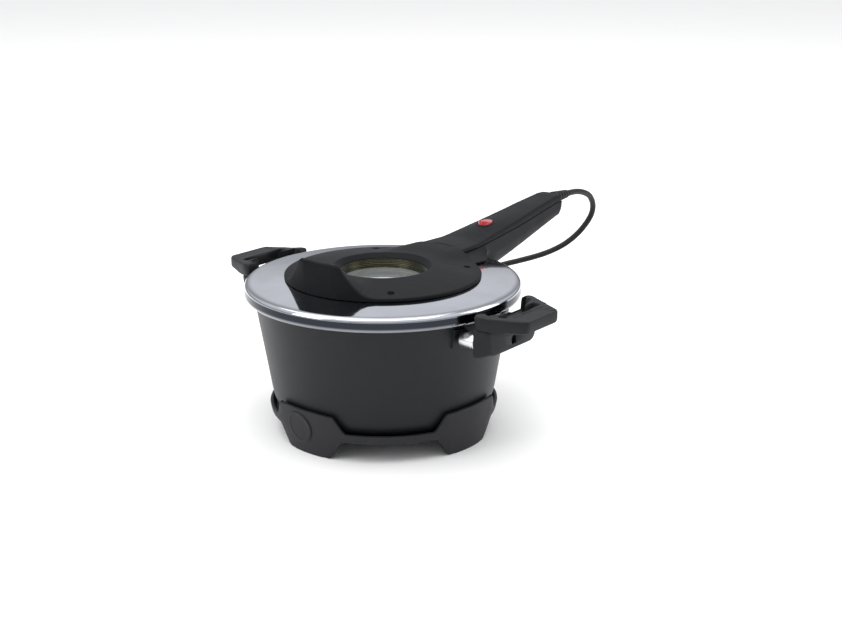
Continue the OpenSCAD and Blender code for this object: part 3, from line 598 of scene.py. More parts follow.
def make_lamp():
    """Small amber lamp: glassy body with a warm glow."""
    material, n, k, shader, where = new_material("lamp amber", {
        "Transmission Weight": 0.3, "Emission Strength": 1.2})
    cloud = noise_node(n, k, where, 500.0, 3.0, 0.6)
    k.new(two_tone(n, k, cloud, (0.8, 0.2, 0.03, 1), (0.95, 0.4, 0.08, 1)), shader.inputs["Base Color"])
    k.new(two_tone(n, k, cloud, (0.6, 0.12, 0.02, 1), (0.9, 0.3, 0.05, 1)),
          shader.inputs["Emission Color"])
    k.new(ramp(n, k, cloud, 0.3, 0.7, 0.1, 0.25), shader.inputs["Roughness"])
    return material


lid_steel, pan_coat = make_lid_steel(), make_pan_coat()
window_steel, glass = make_window_steel(), make_glass()
rocker_red, sheath = make_rocker_red(), make_sheath()
lead_sleeve, lamp_amber = make_lead(), make_lamp()


def finish_with(piece, material):
    piece.data.materials.clear()
    piece.data.materials.append(material)


finish_with(mains_cord, sheath)


# ---------------------------------------------------------------- stand

STAND_TURN = -2.0


def pan_radius(z):
    """Outer radius of the tapering pan: 90 at height 31, growing 13.8 over the next 83.2."""
    return 90 + 13.8 / 83.2 * (z - 31)


STAND_WALL = 4.5


def stand_body():
    """Moulded ring whose lip rises into four ears and drops into four feet. For each direction, the
    top and bottom heights are smooth steps of the angle from the nearest ear, and the cross-section
    runs up the leaning outer face, over the top, down to the ledge and back under it."""
    a = np.linspace(0, 2 * np.pi, 960, endpoint=False)
    off = np.degrees((a + np.pi / 4) % (np.pi / 2) - np.pi / 4)
    side = np.abs(off)
    top = 23.5 + 14.5 * smooth01((24.0 - side) / 8.2)
    low = 16.5 - 16.5 * smooth01((22.3 - side) / 9.4)
    crown = 0.9 * smooth01((side - 7) / 9) * (side < 16.5)
    top = top - crown
    rim = np.minimum(1.1, 0.3 * (top - low))
    outer_t, outer_b = pan_radius(top) + STAND_WALL, pan_radius(low) + STAND_WALL
    inner_t = outer_t - 3.0
    foot = smooth01((16.5 - low) / 4)
    keel = mix(73.0 * np.ones_like(a), outer_b - 3.4, foot)
    shelf = np.full_like(a, 18.7)
    lip = pan_radius(shelf) + 0.9
    sections = [
        (outer_b - 1.0, low), (outer_b - 0.3, low + 0.3), (outer_b, low + 1.0),
        (pan_radius(mix(low, top, 0.5)) + STAND_WALL, mix(low, top, 0.5)),
        (pan_radius(top - rim) + STAND_WALL, top - rim), (outer_t - 0.3, top - 0.3),
        (outer_t - rim, top),
        (inner_t + 0.6, top), (inner_t + 0.1, top - 0.4), (pan_radius(top - 1.4) + 1.3, top - 1.4),
        (lip, shelf + 1.2), (lip - 1.0, shelf), (72.4 + 0 * a, shelf), (71.7 + 0 * a, shelf - 0.5),
        (71.7 + 0 * a, shelf - 1.7), (72.4 + 0 * a, shelf - 2.2),
        (pan_radius(16.5) - 0.4 + 0 * a, shelf - 2.2), (keel.clip(72.5), low + 0.02)]
    direction = a + np.radians(STAND_TURN)
    grid = np.stack([np.stack([r * np.cos(direction), r * np.sin(direction), z], -1)
                     for r, z in sections], 1)
    return ring_grid("stand_body", grid, "stand", angle=38)


stand = stand_body()
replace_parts(stand, "stand_ring")
finish_with(stand, stand_plastic)


def badge():
    """Blank round badge lying on the leaning ear: rings of a disc, each point at its height's radius,
    with a raised border and a slightly sunk middle."""
    ring = np.array([0.02, 9.6, 10.3, 10.8, 12.4, 12.8, 13.0, 13.0])
    rise = np.array([0.55, 0.55, 0.6, 1.0, 1.0, 0.85, 0.5, -0.4])
    a = np.linspace(0, 2 * np.pi, 96, endpoint=False)
    along, z = ring[:, None] * np.cos(a), 22 + ring[:, None] * np.sin(a)
    r = pan_radius(z) + STAND_WALL + rise[:, None]
    direction = np.radians(STAND_TURN + 177) + along / 95.0
    grid = np.stack([r * np.cos(direction), r * np.sin(direction), z], -1)
    return capped_grid("round_badge", grid, "stand", angle=38)


blank_badge = badge()
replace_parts(blank_badge, "stand_badge")
finish_with(blank_badge, stand_plastic)


# ---------------------------------------------------------------- pan

# From the middle of the floor's underside, up the outside, over the bead and down the inside.
pan_outline = rounded([
    (0.0, 19.0, 0.0), (77.0, 19.0, 2), (86.2, 21.6, 5), (90.0, 30.6, 9), (103.5, 112.3, 1.5),
    (105.9, 112.2, 2.4), (105.9, 116.0, 2.4), (101.7, 116.0, 2.4), (100.8, 112.0, 1.2),
    (86.8, 31.5, 7), (81.0, 24.8, 8), (0.0, 24.5, 0.0)], 6)
pan_outline[pan_outline[:, 0] < 0.5, 0] = 0.0
first = int(np.argmin(pan_outline[:, 0] + 1000 * (pan_outline[:, 1] > 22)))
pan_outline = np.roll(pan_outline, -first, 0)
pan = turned("pan_body", pan_outline, "pan", steps=224, angle=40)
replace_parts(pan, "pan_shell")
finish_with(pan, pan_coat)


def ferrule_pair(name, sign):
    """Two bright sleeves along Y: an outline (way along, radius) with rolled ends and a bore, turned
    about each sleeve's middle, from just off the pan's wall to the handle's block."""
    bore, radius, z, steps = 2.75, 6.9, 100.2, 64
    start = math.sqrt(pan_radius(107.2) ** 2 - 22.0 ** 2) + 2
    end = 116 - start - 0.05
    outline = rounded([(0, bore, 0.3), (0, radius, 0.9), (end, radius, 0.6), (end, bore, 0.3)], 4)
    way, r = outline[:, 0], outline[:, 1]
    a = np.linspace(0, 2 * np.pi, steps, endpoint=False)[:, None]
    points, faces = [], []
    for i, x in enumerate((-29.0, 29.0)):
        y = np.broadcast_to(sign * start + sign * way, (steps, len(way)))
        points.append(np.stack([x + r * np.cos(a), y, z + r * np.sin(a)], -1).reshape(-1, 3))
        faces += (grid_faces(steps, len(way), True, True) + i * steps * len(way)).tolist()
    piece = make_mesh(name, np.vstack(points), faces, "pan", angle=40)
    finish_with(piece, bright_steel)
    return piece


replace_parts(ferrule_pair("bright_sleeves_left", 1), "ferrules_left")
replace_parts(ferrule_pair("bright_sleeves_right", -1), "ferrules_right")


def even_ring(corners, count, centre):
    """Rounded outline read at equal angles from a centre, by its crossing with each ray."""
    line = rounded(corners, 8)
    line = np.vstack([line, line[:1]])
    s = np.concatenate([[0], np.cumsum(np.linalg.norm(np.diff(line, axis=0), axis=1))])
    dense = np.stack([np.interp(np.linspace(0, s[-1], 4000), s, line[:, k]) for k in range(2)], -1)
    angle = np.arctan2(dense[:, 1] - centre[1], dense[:, 0] - centre[0])
    order = np.argsort(angle)
    want = np.linspace(-np.pi, np.pi, count, endpoint=False)
    radius = np.linalg.norm(dense - np.asarray(centre), axis=1)
    r = np.interp(want, angle[order], radius[order], period=2 * np.pi)
    return np.stack([centre[0] + r * np.cos(want), centre[1] + r * np.sin(want)], -1)


def side_grip(name, sign):
    """Bar on two arms round the finger slot: at each angle a rounded section spans from the slot's
    edge to the outer edge. Between the arms, on the lid's side, it drops to a low ledge; the arms
    rise a little towards the lid, and the outer bar's top is sunk by 0.9 between its ends."""
    centre = (0.0, 132.6)
    outer = even_ring([(-36, 116, 3), (36, 116, 3), (36.2, 122, 8), (23.5, 149, 10), (20.5, 154, 4),
                       (-20.5, 154, 4), (-23.5, 149, 10), (-36.2, 122, 8)], 480, centre)
    inner = even_ring([(-24, 129.2, 2), (24, 129.2, 2), (23, 136.3, 2), (-23, 136.3, 2)], 480, centre)
    top, low, ledge = 121.15, 110.75, 112.3
    span = np.array([0.0, 0.0, 0.03, 0.08, 0.12, 0.16, 0.3, 0.5, 0.7, 0.9, 0.97, 1.0, 1.0, 0.97,
                     0.88, 0.12, 0.03])
    level = np.array([low + 1.6, top - 1.4, top - 0.5, top, top, top, top, top, top, top, top - 0.6,
                      top - 1.8, low + 2.4, low + 0.8, low, low, low + 0.6])
    plan = inner[:, None] * (1 - span[None, :, None]) + outer[:, None] * span[None, :, None]
    z = np.broadcast_to(level[None], plan.shape[:2]).copy()
    upper = (np.arange(len(span)) >= 1) & (np.arange(len(span)) <= 11)
    z[:, upper] += 1.6 * smooth01((132 - plan[:, upper, 1]) / 14)
    between = (smooth01((26.6 - np.abs(plan[..., 0])) / 1.2) * (outer[:, None, 1] < 122))[:, upper]
    dropped = np.minimum(z[:, upper], ledge - (top - level[upper])[None] * 0.3)
    z[:, upper] = mix(z[:, upper], dropped, between)
    panel = smooth01((18.4 - np.abs(plan[..., 0])) / 0.9) * smooth01((plan[..., 1] - 138.4) / 0.9)
    flat = (span >= 0.1) & (span <= 0.9) & upper
    z[:, flat] -= 0.9 * panel[:, flat]
    grid = np.stack([plan[..., 0], sign * plan[..., 1], z], -1)
    return ring_grid(name, grid, "pan", angle=38)


def side_block(name, sign):
    """Block below a side grip: rings that share one angle, from the back outline to the rounded
    front, then in to the screw's recess and down it."""
    centre, count, r = (0.0, 97.2), 160, 2.8
    back = even_ring([(-36, 88.9, 4), (36, 88.9, 4), (36, 111.9, 3), (-36, 111.9, 3)], count, centre)
    front = even_ring([(-30, 90.2, 7), (30, 90.2, 7), (34, 111.6, 3), (-34, 111.6, 3)], count, centre)
    hole = even_ring([(-2.9, 93.4, r), (2.9, 93.4, r), (2.9, 101, r), (-2.9, 101, r)], count, centre)
    hub = np.asarray(centre)
    rings = [(hub + (back - hub) * 0.1, 116.0), (hub + (back - hub) * 0.985, 116.0), (back, 116.6),
             (mix(back, front, 0.25), 120.5), (front, 125.0),
             (hub + (front - hub) * 0.985, 126.4), (hub + (front - hub) * 0.95, 127.4),
             (hub + (front - hub) * 0.88, 127.95), (hub + (front - hub) * 0.4, 128.3),
             (hub + (hole - hub) * 1.12, 128.3), (hole, 128.0), (hole, 123.2)]
    grid = np.stack([np.stack([p[:, 0], np.full(count, sign * y), p[:, 1]], -1) for p, y in rings], 0)
    return capped_grid(name, grid, "pan", angle=42)


for label, sign in (("left", 1), ("right", -1)):
    loop = side_grip("side_grip_" + label, sign)
    block = side_block("side_block_" + label, sign)
    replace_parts(loop, "side_handle_" + label)
    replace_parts(block, "side_handle_" + label)
    finish_with(loop, grip_plastic)
    finish_with(block, grip_plastic)


# ---------------------------------------------------------------- lid

def arc(cx, cz, r, a0, a1, n):
    a = np.radians(np.linspace(a0, a1, n + 1))
    return np.stack([cx + r * np.cos(a), cz + r * np.sin(a)], -1)


RIM_TOP_R = 108.04


def dome_height(r):
    """Height of the gently sloping dome: 123.24 where the rim begins, rising 2.6 to radius 79."""
    return 123.24 + 2.6 / 29.04 * (RIM_TOP_R - r)


lid_outline = np.vstack([
    arc(106.4, 115.28, 4.6, -75, 0, 12), arc(107.0, 119.38, 4.0, 0, 75, 12),
    [[107.2, 123.36], [106.2, 123.43]],
    [[41.2, dome_height(41.2)], [41.2, dome_height(41.2) - 1]],
    arc(107.0, 119.38, 3.0, 75, 0, 10), arc(106.4, 115.28, 3.6, 0, -75, 10)])
lid = turned("lid_dome_sheet", lid_outline, "lid", steps=256, angle=50)
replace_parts(lid, "lid_dome")
finish_with(lid, lid_steel)

HEEL_FLAT = 76.6
COVER_BASE = dome_height(HEEL_FLAT) + 0.2
COVER_R = 79.0
BEVEL_R, BEVEL_Z = 39.2, 134.04
OPENING_R, OPENING_Z = 35.2, 130.64


def cover_height(r, a):
    """Cover's top: a shallow cone, plus the heel at 180 degrees and the shoulder at 0. Each rises
    from the bevel as the 1.6 power of the way out, times a bell of the angle off its middle."""
    cone = COVER_BASE + 2.6 + 5.4 * (COVER_R - r) / (COVER_R - BEVEL_R)
    way = np.clip((r - BEVEL_R - 1) / (COVER_R - 3.0 - BEVEL_R - 1), 0, 1)
    x, y = r * np.cos(a), r * np.sin(a)
    off = np.degrees(np.arctan2(np.abs(y), -x))
    bell = np.interp(off, [0, 13.2, 15.2, 17, 19.4, 21.6, 24.6, 27.5, 31.5, 36, 180],
                     [1, 1, 0.93, 0.75, 0.58, 0.44, 0.27, 0.14, 0.04, 0, 0])
    heel = bell * (BEVEL_Z + (152.5 - BEVEL_Z) * way ** 1.7 - cone)
    heel = np.where(bell > 0, np.maximum(heel, 0), 0)
    band = 1 - smooth01((np.abs(y) - 17) / 26)
    shoulder = np.where(x > 0, band * smooth01((x - 30) / 34) * (135.84 - cone), 0)
    return cone + heel + np.maximum(shoulder, 0)


def cover_surface():
    """Cover on a polar grid: across from the window's edge, up the bevel, out over the cover's top,
    round its edge with a 2.2 radius, down the band, and back underneath just clear of the dome."""
    count = 720
    a = np.linspace(0, 2 * np.pi, count, endpoint=False)
    near = np.linspace(0, 1, 34) ** 0.9
    inner = [(OPENING_R, OPENING_Z - 0.5), (OPENING_R, OPENING_Z), (BEVEL_R - 0.5, BEVEL_Z - 0.45),
             (BEVEL_R, BEVEL_Z - 0.1)]
    cols = [np.stack([r * np.cos(a), r * np.sin(a), np.full(count, z)], -1) for r, z in inner]
    soft = 2.2
    chord = np.where(np.cos(a) < 0, HEEL_FLAT / np.maximum(-np.cos(a), 0.4), 200.0)
    edge = np.minimum(COVER_R, np.where(chord < COVER_R, chord + 1.2, COVER_R))
    for t in near:
        r = BEVEL_R + 0.6 + t * (edge - soft - BEVEL_R - 0.6)
        cols.append(np.stack([r * np.cos(a), r * np.sin(a), cover_height(r, a)], -1))
    crest = cover_height(edge - soft, a)
    drop = np.minimum(soft, (crest - COVER_BASE) * 0.5)
    for q in np.radians([18, 36, 54, 72, 90]):
        r = edge - soft + soft * math.sin(q)
        z = crest - drop * (1 - math.cos(q))
        cols.append(np.stack([r * np.cos(a), r * np.sin(a), z], -1))
    for t in (0.25, 0.5, 0.8, 1.0):
        r = mix(edge, COVER_R, t)
        z = mix(crest - drop, COVER_BASE + 0.25, t)
        cols.append(np.stack([r * np.cos(a), r * np.sin(a), z], -1))
    for r, z in ((COVER_R - 0.3, COVER_BASE), (COVER_R - 2.4, COVER_BASE),
                 (BEVEL_R + 4, dome_height(BEVEL_R + 4) + 0.5),
                 (BEVEL_R + 0.5, dome_height(BEVEL_R + 0.5) + 0.5), (BEVEL_R + 0.3, OPENING_Z - 0.6)):
        cols.append(np.stack([r * np.cos(a), r * np.sin(a), np.full(count, z)], -1))
    return ring_grid("lid_cover_moulding", np.stack(cols, 1), "lid", angle=34)


cover = cover_surface()
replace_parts(cover, "lid_cover")
finish_with(cover, cover_plastic)


def screw_well(name, at, normal, radius, body="lid", depth=1.2):
    """Small cup let into a surface: a thin rounded collar, a wall going in and a flat floor."""
    at, normal = np.asarray(at, float), np.asarray(normal, float) / np.linalg.norm(normal)
    side = np.cross(normal, (0.31, 0.83, 0.46))
    side /= np.linalg.norm(side)
    other = np.cross(normal, side)
    rings = np.array([(0.02, 0.06), (radius * 0.86, 0.06), (radius * 0.95, 0.14), (radius, 0.2),
                      (radius * 1.06, 0.12), (radius * 1.1, -0.3), (radius * 1.1, -depth), (0.02, -depth)])
    a = np.linspace(0, 2 * np.pi, 48, endpoint=False)
    spoke = np.cos(a)[:, None] * side + np.sin(a)[:, None] * other
    grid = at + rings[:, None, :1] * spoke[None] + rings[:, None, 1:] * normal
    return capped_grid(name, grid, body, angle=40)


for i, angle in enumerate((45, 135, 225, 315)):
    a = math.radians(angle)
    r = 68.0
    z = float(cover_height(np.array(r), np.array(a)))
    well = screw_well("cover_screw_well_%d" % (i + 1), (r * math.cos(a), r * math.sin(a), z + 0.02),
                      (0.13 * math.cos(a), 0.13 * math.sin(a), 1), 2.7)
    finish_with(well, painted_well_shade)

sleeve_outline = rounded([
    (32.2, 123.4, 0.1), (35.5, 123.4, 0.1), (35.5, 128.6, 0.1), (38.2, 128.6, 0.1), (38.2, 130.0, 0.2),
    (34.6, 130.0, 0.4), (34.6, 128.9, 0.3), (34.1, 128.7, 0.2), (34.1, 127.6, 0.2), (33.6, 127.4, 0.2),
    (33.6, 126.2, 0.2), (33.1, 126.0, 0.2), (33.1, 124.9, 0.2), (32.2, 124.7, 0.2)], 3)
sleeve = turned("window_sleeve", sleeve_outline, "lid", steps=160, angle=40)
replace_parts(sleeve, "window_ring")
finish_with(sleeve, window_steel)

pane_outline = np.array([(0, 119.9), (20, 119.9), (33.6, 119.9), (34.1, 120.4), (34.1, 122.7),
                         (33.7, 123.2), (31, 123.35), (15, 123.4), (0, 123.4)])
pane = turned("window_pane", pane_outline, "lid", steps=128, angle=40, closed=False)
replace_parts(pane, "window_glass")
finish_with(pane, glass)


# ---------------------------------------------------------------- lid handle

TIP_Z, SHOULDER_Z = 152.64, 135.84
HANDLE_START, HANDLE_END = 70.0, 247.0
LID_EDGE = 112
ROCKER_X = 139


def along(x):
    return (x - HANDLE_START) / (HANDLE_END - HANDLE_START)


def half_width(x):
    return mix(23.0, 11.2, along(x))


def top_line(x):
    climb = mix(SHOULDER_Z - 1.6, TIP_Z, np.clip((x - 100) / 136, 0, 1) ** 1.2)
    return climb - 1.0 * smooth01((x - 200) / 40)


def crown(x):
    return mix(1.4, 0.4, smooth01(along(x))) + 3.2 * np.exp(-((x - ROCKER_X) / 34) ** 2)


def part_line(x):
    return top_line(x) - mix(3.0, 6.4, smooth01((x - 90) / 110))


def under_line(x):
    over_lid = dome_height(np.minimum(x, RIM_TOP_R)) + 0.6
    back = HANDLE_END - x
    belly = TIP_Z - 17.5 - 0.2 * back - mix(2.4, 4.2, smooth01(back / 90))
    return np.where(x < LID_EDGE, over_lid, mix(over_lid - 4.4, belly, smooth01((x - LID_EDGE) / 18)))


STATIONS = np.concatenate([np.linspace(HANDLE_START, LID_EDGE - 0.4, 30), [LID_EDGE + 0.05],
                           np.linspace(LID_EDGE + 1, 244, 90), [246, 246.8, HANDLE_END]])


def from_cover(x, y):
    """Moves a station out to a circle just off the cover, and lets go over the next 48."""
    start = np.sqrt(np.maximum((COVER_R + 0.7) ** 2 - y ** 2, 0))
    return x + (start - HANDLE_START) * np.clip(1 - (x - HANDLE_START) / 48, 0, 1)


def soft_section(corners, steps=4):
    """Rounds the corners of many closed sections at once: corners is (sections, corners, y z r)."""
    here, r = corners[..., :2], corners[..., 2:]
    out, back = np.roll(here, 1, 1) - here, np.roll(here, -1, 1) - here
    lo = np.maximum(np.linalg.norm(out, axis=-1, keepdims=True), 1e-6)
    lb = np.maximum(np.linalg.norm(back, axis=-1, keepdims=True), 1e-6)
    start = (here + out / lo * np.minimum(r, 0.48 * lo))[:, :, None]
    end = (here + back / lb * np.minimum(r, 0.48 * lb))[:, :, None]
    t = np.linspace(0, 1, steps + 1)[:, None]
    line = (1 - t) ** 2 * start + 2 * t * (1 - t) * here[:, :, None] + t * t * end
    return line.reshape(len(corners), -1, 2)


def stack_corners(*rows):
    return np.stack([np.stack(np.broadcast_arrays(*row), -1) for row in rows], 1)


def lower_shell():
    """Under half of the handle, as a closed section for each station: keel, flank and level top.
    The flank runs from the parting line down to the lower corner; near the cover that corner moves
    out to a skirt, and the flank between is hollow: its height follows the 1.8 power of the way in.
    Over the lid, the lower edge drops with the dome by its own distance from the lid's axis."""
    x = STATIONS
    hw, b = half_width(x) - 0.1, 0.7 * half_width(x)
    low, high = under_line(x), part_line(x) - 0.3
    end = smooth01((x - 244.5) / 2.6)
    hw, b, low = hw - 0.9 * end, b - 0.8 * end, low + 1.0 * end
    s = smooth01((x - 84) / 44)
    reach = hw + 17.5 * (1 - s)
    keel = mix(reach - 1.0, b, s)
    side = mix(low + 1.6, mix(low, high, 0.5), s)
    edge = mix(reach, hw - 0.5, s)
    way = np.array([0.0, 0.12, 0.25, 0.38, 0.5, 0.62, 0.75, 0.87, 1.0])[None]
    hollow = mix(way ** 1.8, way, s[:, None])
    flank_y = mix(edge[:, None], hw[:, None], way)
    flank_z = mix(side[:, None], high[:, None], hollow)
    belly_y = mix(keel[:, None], edge[:, None], np.array([0.0, 0.35, 0.7])[None])
    belly_z = mix(low[:, None], side[:, None], np.array([0.0, 0.12, 0.45])[None])
    y = np.concatenate([belly_y, flank_y], 1)
    z = np.concatenate([belly_z, flank_z], 1)
    y = np.concatenate([y, -y[:, ::-1]], 1)
    z = np.concatenate([z, z[:, ::-1]], 1)
    xx = from_cover(x[:, None], y)
    down = np.concatenate([np.ones(3), 1 - way[0]])
    over = x < LID_EDGE
    rest_on = (dome_height(np.minimum(np.hypot(xx, y), RIM_TOP_R))
               - dome_height(np.minimum(x, RIM_TOP_R))[:, None])
    z[over] += (rest_on * np.concatenate([down, down[::-1]]))[over]
    grid = np.stack([xx, y, z], -1)
    return capped_grid("handle_under_shell", grid, "lid", angle=28)


def upper_shell():
    """Upper half of the handle: level at the parting line, straight sides, softly rounded edges and
    a crowned top that swells round the switch."""
    x = STATIONS
    end = smooth01((x - 244.5) / 2.6)
    h = half_width(x) - 0.25 - 1.2 * end
    low, high = part_line(x) + 0.2, top_line(x) - 1.0 * end
    c = crown(x)
    one = np.ones_like(x)
    rows = [(-h, low, 0.5 * one), (h, low, 0.5 * one), (h - 0.2, mix(low, high, 0.75), 1.0 * one),
            (h - 1.0, high + 0.1 * c, 0.9 * one)]
    for t in (0.72, 0.48, 0.24, 0.0, -0.24, -0.48, -0.72):
        rows.append((t * (h - 1.5), high + c * (1 - t * t), 1.0 * one))
    rows += [(-h + 1.0, high + 0.1 * c, 0.9 * one), (-h + 0.2, mix(low, high, 0.75), 1.0 * one)]
    line = soft_section(stack_corners(*rows), 3)
    xx = from_cover(x[:, None], line[..., 0])
    return capped_grid("handle_upper_shell", np.concatenate([xx[..., None], line], -1), "lid", angle=36)


under = lower_shell()
upper = upper_shell()
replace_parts(under, "handle_lower_shell")
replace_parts(upper, "handle_top_shell")
finish_with(under, black_shell)
finish_with(upper, black_shell)

for i, sign in enumerate((-1, 1)):
    well = screw_well("flare_screw_well_%d" % (i + 1), (83.2, sign * 34.6, 126.6),
                      (0.2, sign * 0.3, 1), 2.2)
    finish_with(well, painted_well_shade)


# ---------------------------------------------------------------- switch

def stadium(length, width, count):
    """Long round-ended outline of that length and width, at equal angles from its centre."""
    a = np.linspace(0, 2 * np.pi, count, endpoint=False)
    half = (length - width) / 2
    c, s = np.cos(a), np.sin(a)
    flat = np.abs(s) / np.maximum(np.abs(c), 1e-9) > (width / 2) / half
    r_flat = (width / 2) / np.maximum(np.abs(s), 1e-9)
    root = np.sqrt(np.maximum((width / 2) ** 2 - (half * s) ** 2, 0))
    r_round = half * np.abs(c) + root
    r = np.where(flat, r_flat, r_round)
    return np.stack([r * c, r * s], -1)


PIVOT_Z, TILT = 137.616, math.radians(7)


def rocker():
    """Two-faced rocker: rings of a long round outline. Its top falls from both ends to the middle,
    with a rounded edge; the whole is tilted about the pivot."""
    ring = stadium(13.8, 10.3, 96)
    rows = []
    for scale, level, follow in (
            (0.02, -3.4, 0), (0.97, -3.4, 0), (1.0, -3.0, 0), (1.0, 5.4, 1), (0.985, 5.95, 1),
            (0.95, 6.25, 1), (0.88, 6.4, 1), (0.6, 6.35, 1), (0.3, 6.25, 1), (0.02, 6.2, 1)):
        p = ring * scale
        valley = 1.35 * np.sqrt((p[:, 0] / 7.0) ** 2 + 0.004) if follow else 0
        rows.append(np.stack([p[:, 0], p[:, 1], level + np.zeros(96) + valley], -1))
    grid = np.stack(rows, 0)
    c, s = math.cos(TILT), math.sin(TILT)
    x, z = grid[..., 0] * c + grid[..., 2] * s, -grid[..., 0] * s + grid[..., 2] * c
    grid = np.stack([ROCKER_X + x, grid[..., 1], PIVOT_Z + z], -1)
    return capped_grid("rocker_lens", grid, "rocker", angle=34)


lens = rocker()
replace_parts(lens, "switch_rocker")
finish_with(lens, rocker_red)


def bezel():
    """Raised oval frame round the rocker: a small rounded section carried round the long outline."""
    inner, outer = stadium(15.7, 12.2, 96), stadium(18.2, 14.7, 96)
    rows = []
    for t, lift in ((0.0, -3.0), (0.0, 0.0), (0.15, 0.3), (0.45, 0.42), (0.8, 0.25), (1.0, -0.2),
                    (1.0, -1.2), (0.5, -3.0)):
        p = mix(inner, outer, t)
        x = ROCKER_X + p[:, 0]
        sideways_share = np.clip(np.abs(p[:, 1]) / (half_width(x) - 1.6), 0, 1)
        surface = top_line(x) + crown(x) * (1 - sideways_share ** 2)
        rows.append(np.stack([x, p[:, 1], surface + lift], -1))
    return ring_grid("switch_bezel", np.stack(rows, 1), "lid", angle=40)


frame_oval = bezel()
finish_with(frame_oval, black_shell)


# ---------------------------------------------------------------- strain relief and plug

relief_steps = []
for i in range(5):
    s = 1.2 + i * 4.5
    r = mix(5.8, 3.75, s / 24)
    relief_steps += [(s, r, 0.25), (s + 2.9, r - 0.26, 0.25), (s + 2.95, r - 1.5, 0.2),
                     (s + 4.4, r - 1.6, 0.2)]
relief_outline = rounded(
    [(-7.9, 2.95, 0.2), (-7.9, 4.4, 0.3), (-0.2, 4.4, 0.2), (0.0, 5.9, 0.4)] + relief_steps
    + [(23.6, 3.6, 0.6), (24.0, 3.0, 0.3)], 3)
relief = sideways("strain_relief_sleeve", relief_outline, "lid", (HANDLE_END, 0, TIP_Z - 6),
                  (1, 0, 0), steps=56, angle=40)
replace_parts(relief, "strain_relief")
finish_with(relief, relief_rubber)


def plug():
    """Moulded plug: rounded rectangle sections along Y that grow from the cord to the body, with a
    waist for the fingers and a flat front."""
    y = np.array([0, 0.4, 6, 10, 12, 15, 20, 25, 29.5, 31.6, 32.0])
    half = np.array([3.6, 4.0, 5.6, 7.4, 10.5, 13.2, 15.2, 15.8, 16.4, 16.6, 16.0])
    high = np.array([3.6, 4.0, 5.0, 6.0, 6.6, 6.4, 6.0, 6.2, 6.8, 6.9, 6.4])
    r = np.minimum(half, high) * 0.95
    line = soft_section(stack_corners((-half, -high, r), (half, -high, r), (half, high, r),
                                      (-half, high, r)), 8)
    along_y = np.broadcast_to(y[:, None], line.shape[:2])
    grid = np.stack([160 + line[..., 0], 160 + along_y, 8 + line[..., 1]], -1)
    return capped_grid("moulded_plug", grid, "lid", angle=40)


plug_piece = plug()
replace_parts(plug_piece, "plug_body")
finish_with(plug_piece, relief_rubber)


def tie_band():
    """Closed band round the coil's bundle at its near side: a rounded frame section, 8 wide."""
    outer = rounded([(-6.6, 0.05, 1.6), (6.6, 0.05, 1.6), (6.6, 12.1, 2.0), (-6.6, 12.1, 2.0)], 5)
    inner = rounded([(-5.9, 0.45, 1.2), (5.9, 0.45, 1.2), (5.9, 11.5, 1.6), (-5.9, 11.5, 1.6)], 5)
    rows = []
    for p, y in ((inner, -3.8), (inner, 3.8), (outer, 3.8), (outer, -3.8)):
        rows.append(np.stack([COIL_X - 33 + p[:, 0], np.full(len(p), COIL_Y + y), p[:, 1]], -1))
    return ring_grid("cord_tie_band", np.stack(rows, 1), "lid", angle=40)


tie = tie_band()
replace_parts(tie, "cord_tie")
finish_with(tie, rubber)

path_m = place(cord_line).tolist()


# ---------------------------------------------------------------- finishes of the parts kept as built

KEPT = {
    "foot_pads": rubber, "rest_pads": rubber, "bracket_left": pan_coat, "bracket_right": pan_coat,
    "side_handle_screws": bare_steel, "reflector": reflector_metal, "heating_element": element_metal,
    "element_clips": bare_steel, "insulation": board, "thermostat": bare_steel, "window_seal": seal_rubber,
    "cover_screws": bare_steel, "shell_screws": bare_steel, "switch_housing": dark_plastic,
    "switch_pin": bare_steel, "indicator_lamp": lamp_amber, "terminal_block": ivory_plastic,
    "inner_leads": lead_sleeve, "cord_clamp": dark_plastic, "clamp_screws": bare_steel, "plug_pins": brass}
for node_name, material in KEPT.items():
    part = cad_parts[node_name]
    part.data.materials.clear()
    part.data.materials.append(material)


# ---------------------------------------------------------------- floor and light

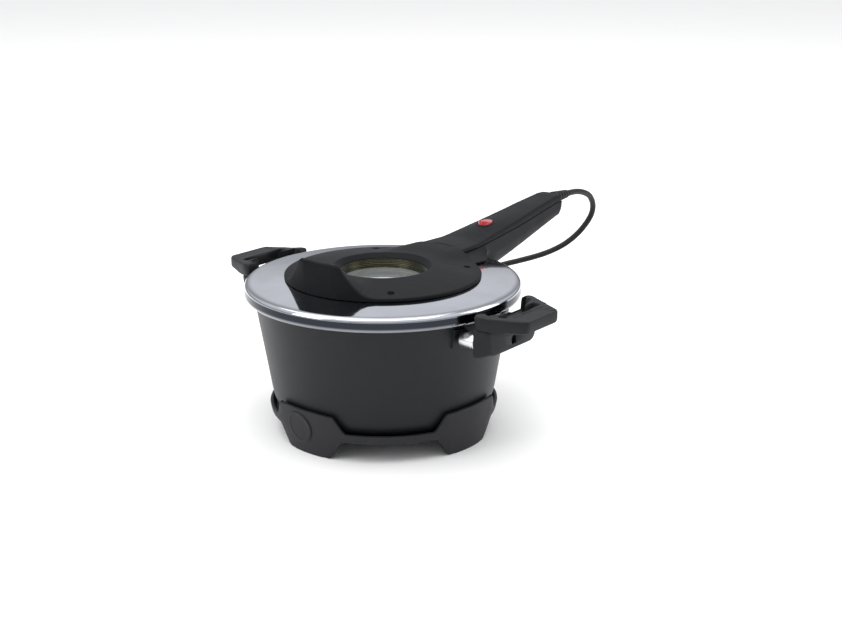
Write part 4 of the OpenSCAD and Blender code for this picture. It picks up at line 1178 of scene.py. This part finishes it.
floor_mesh = bpy.data.meshes.new("floor")
floor_mesh.from_pydata([(-30, -30, 0), (30, -30, 0), (30, 30, 0), (-30, 30, 0)], [], [(0, 1, 2, 3)])
floor = bpy.data.objects.new("floor", floor_mesh)
bpy.context.scene.collection.objects.link(floor)
floor_paint, fn, fl, floor_shader, floor_where = new_material(
    "pale floor", {"Specular IOR Level": 0.1, "Roughness": 0.8})
fl.new(two_tone(fn, fl, noise_node(fn, fl, floor_where, 8.0), (0.88, 0.88, 0.88, 1), (0.9, 0.9, 0.9, 1)),
       floor_shader.inputs["Base Color"])
floor_mesh.materials.append(floor_paint)

world = bpy.data.worlds.new("studio")
world.use_nodes = True
wn, wl = world.node_tree.nodes, world.node_tree.links
sky_split = wn.new("ShaderNodeSeparateXYZ")
wl.new(wn.new("ShaderNodeTexCoord").outputs["Generated"], sky_split.inputs[0])
sky = wn.new("ShaderNodeValToRGB")
sky.color_ramp.interpolation = "EASE"
sky.color_ramp.elements[0].position, sky.color_ramp.elements[0].color = 0.0, (0.30, 0.31, 0.33, 1)
sky.color_ramp.elements[1].position, sky.color_ramp.elements[1].color = 0.75, (1.15, 1.15, 1.15, 1)
haze = sky.color_ramp.elements.new(0.34)
haze.color = (0.86, 0.87, 0.9, 1)
wl.new(sky_split.outputs[2], sky.inputs["Fac"])
wl.new(sky.outputs["Color"], wn["Background"].inputs["Color"])
wn["Background"].inputs["Strength"].default_value = 0.9
bpy.context.scene.world = world


def soft_light(name, at, target, size, power):
    data = bpy.data.lights.new(name, "AREA")
    data.shape = "RECTANGLE"
    data.size, data.size_y = size
    data.energy = power
    light = bpy.data.objects.new(name, data)
    light.location = at
    light.rotation_euler = (Vector(target) - Vector(at)).to_track_quat("-Z", "Y").to_euler()
    bpy.context.scene.collection.objects.link(light)


soft_light("overhead panel", (-0.3, 0.2, 2.4), (-0.05, 0, 0.08), (3.2, 3.2), 60)
soft_light("left panel", (-2.2, 0.9, 1.1), (-0.05, 0, 0.08), (1.2, 1.6), 14)
soft_light("right panel", (1.4, -1.6, 1.1), (-0.05, 0, 0.08), (1.2, 1.6), 12)

bpy.context.scene.view_settings.view_transform = "Standard"
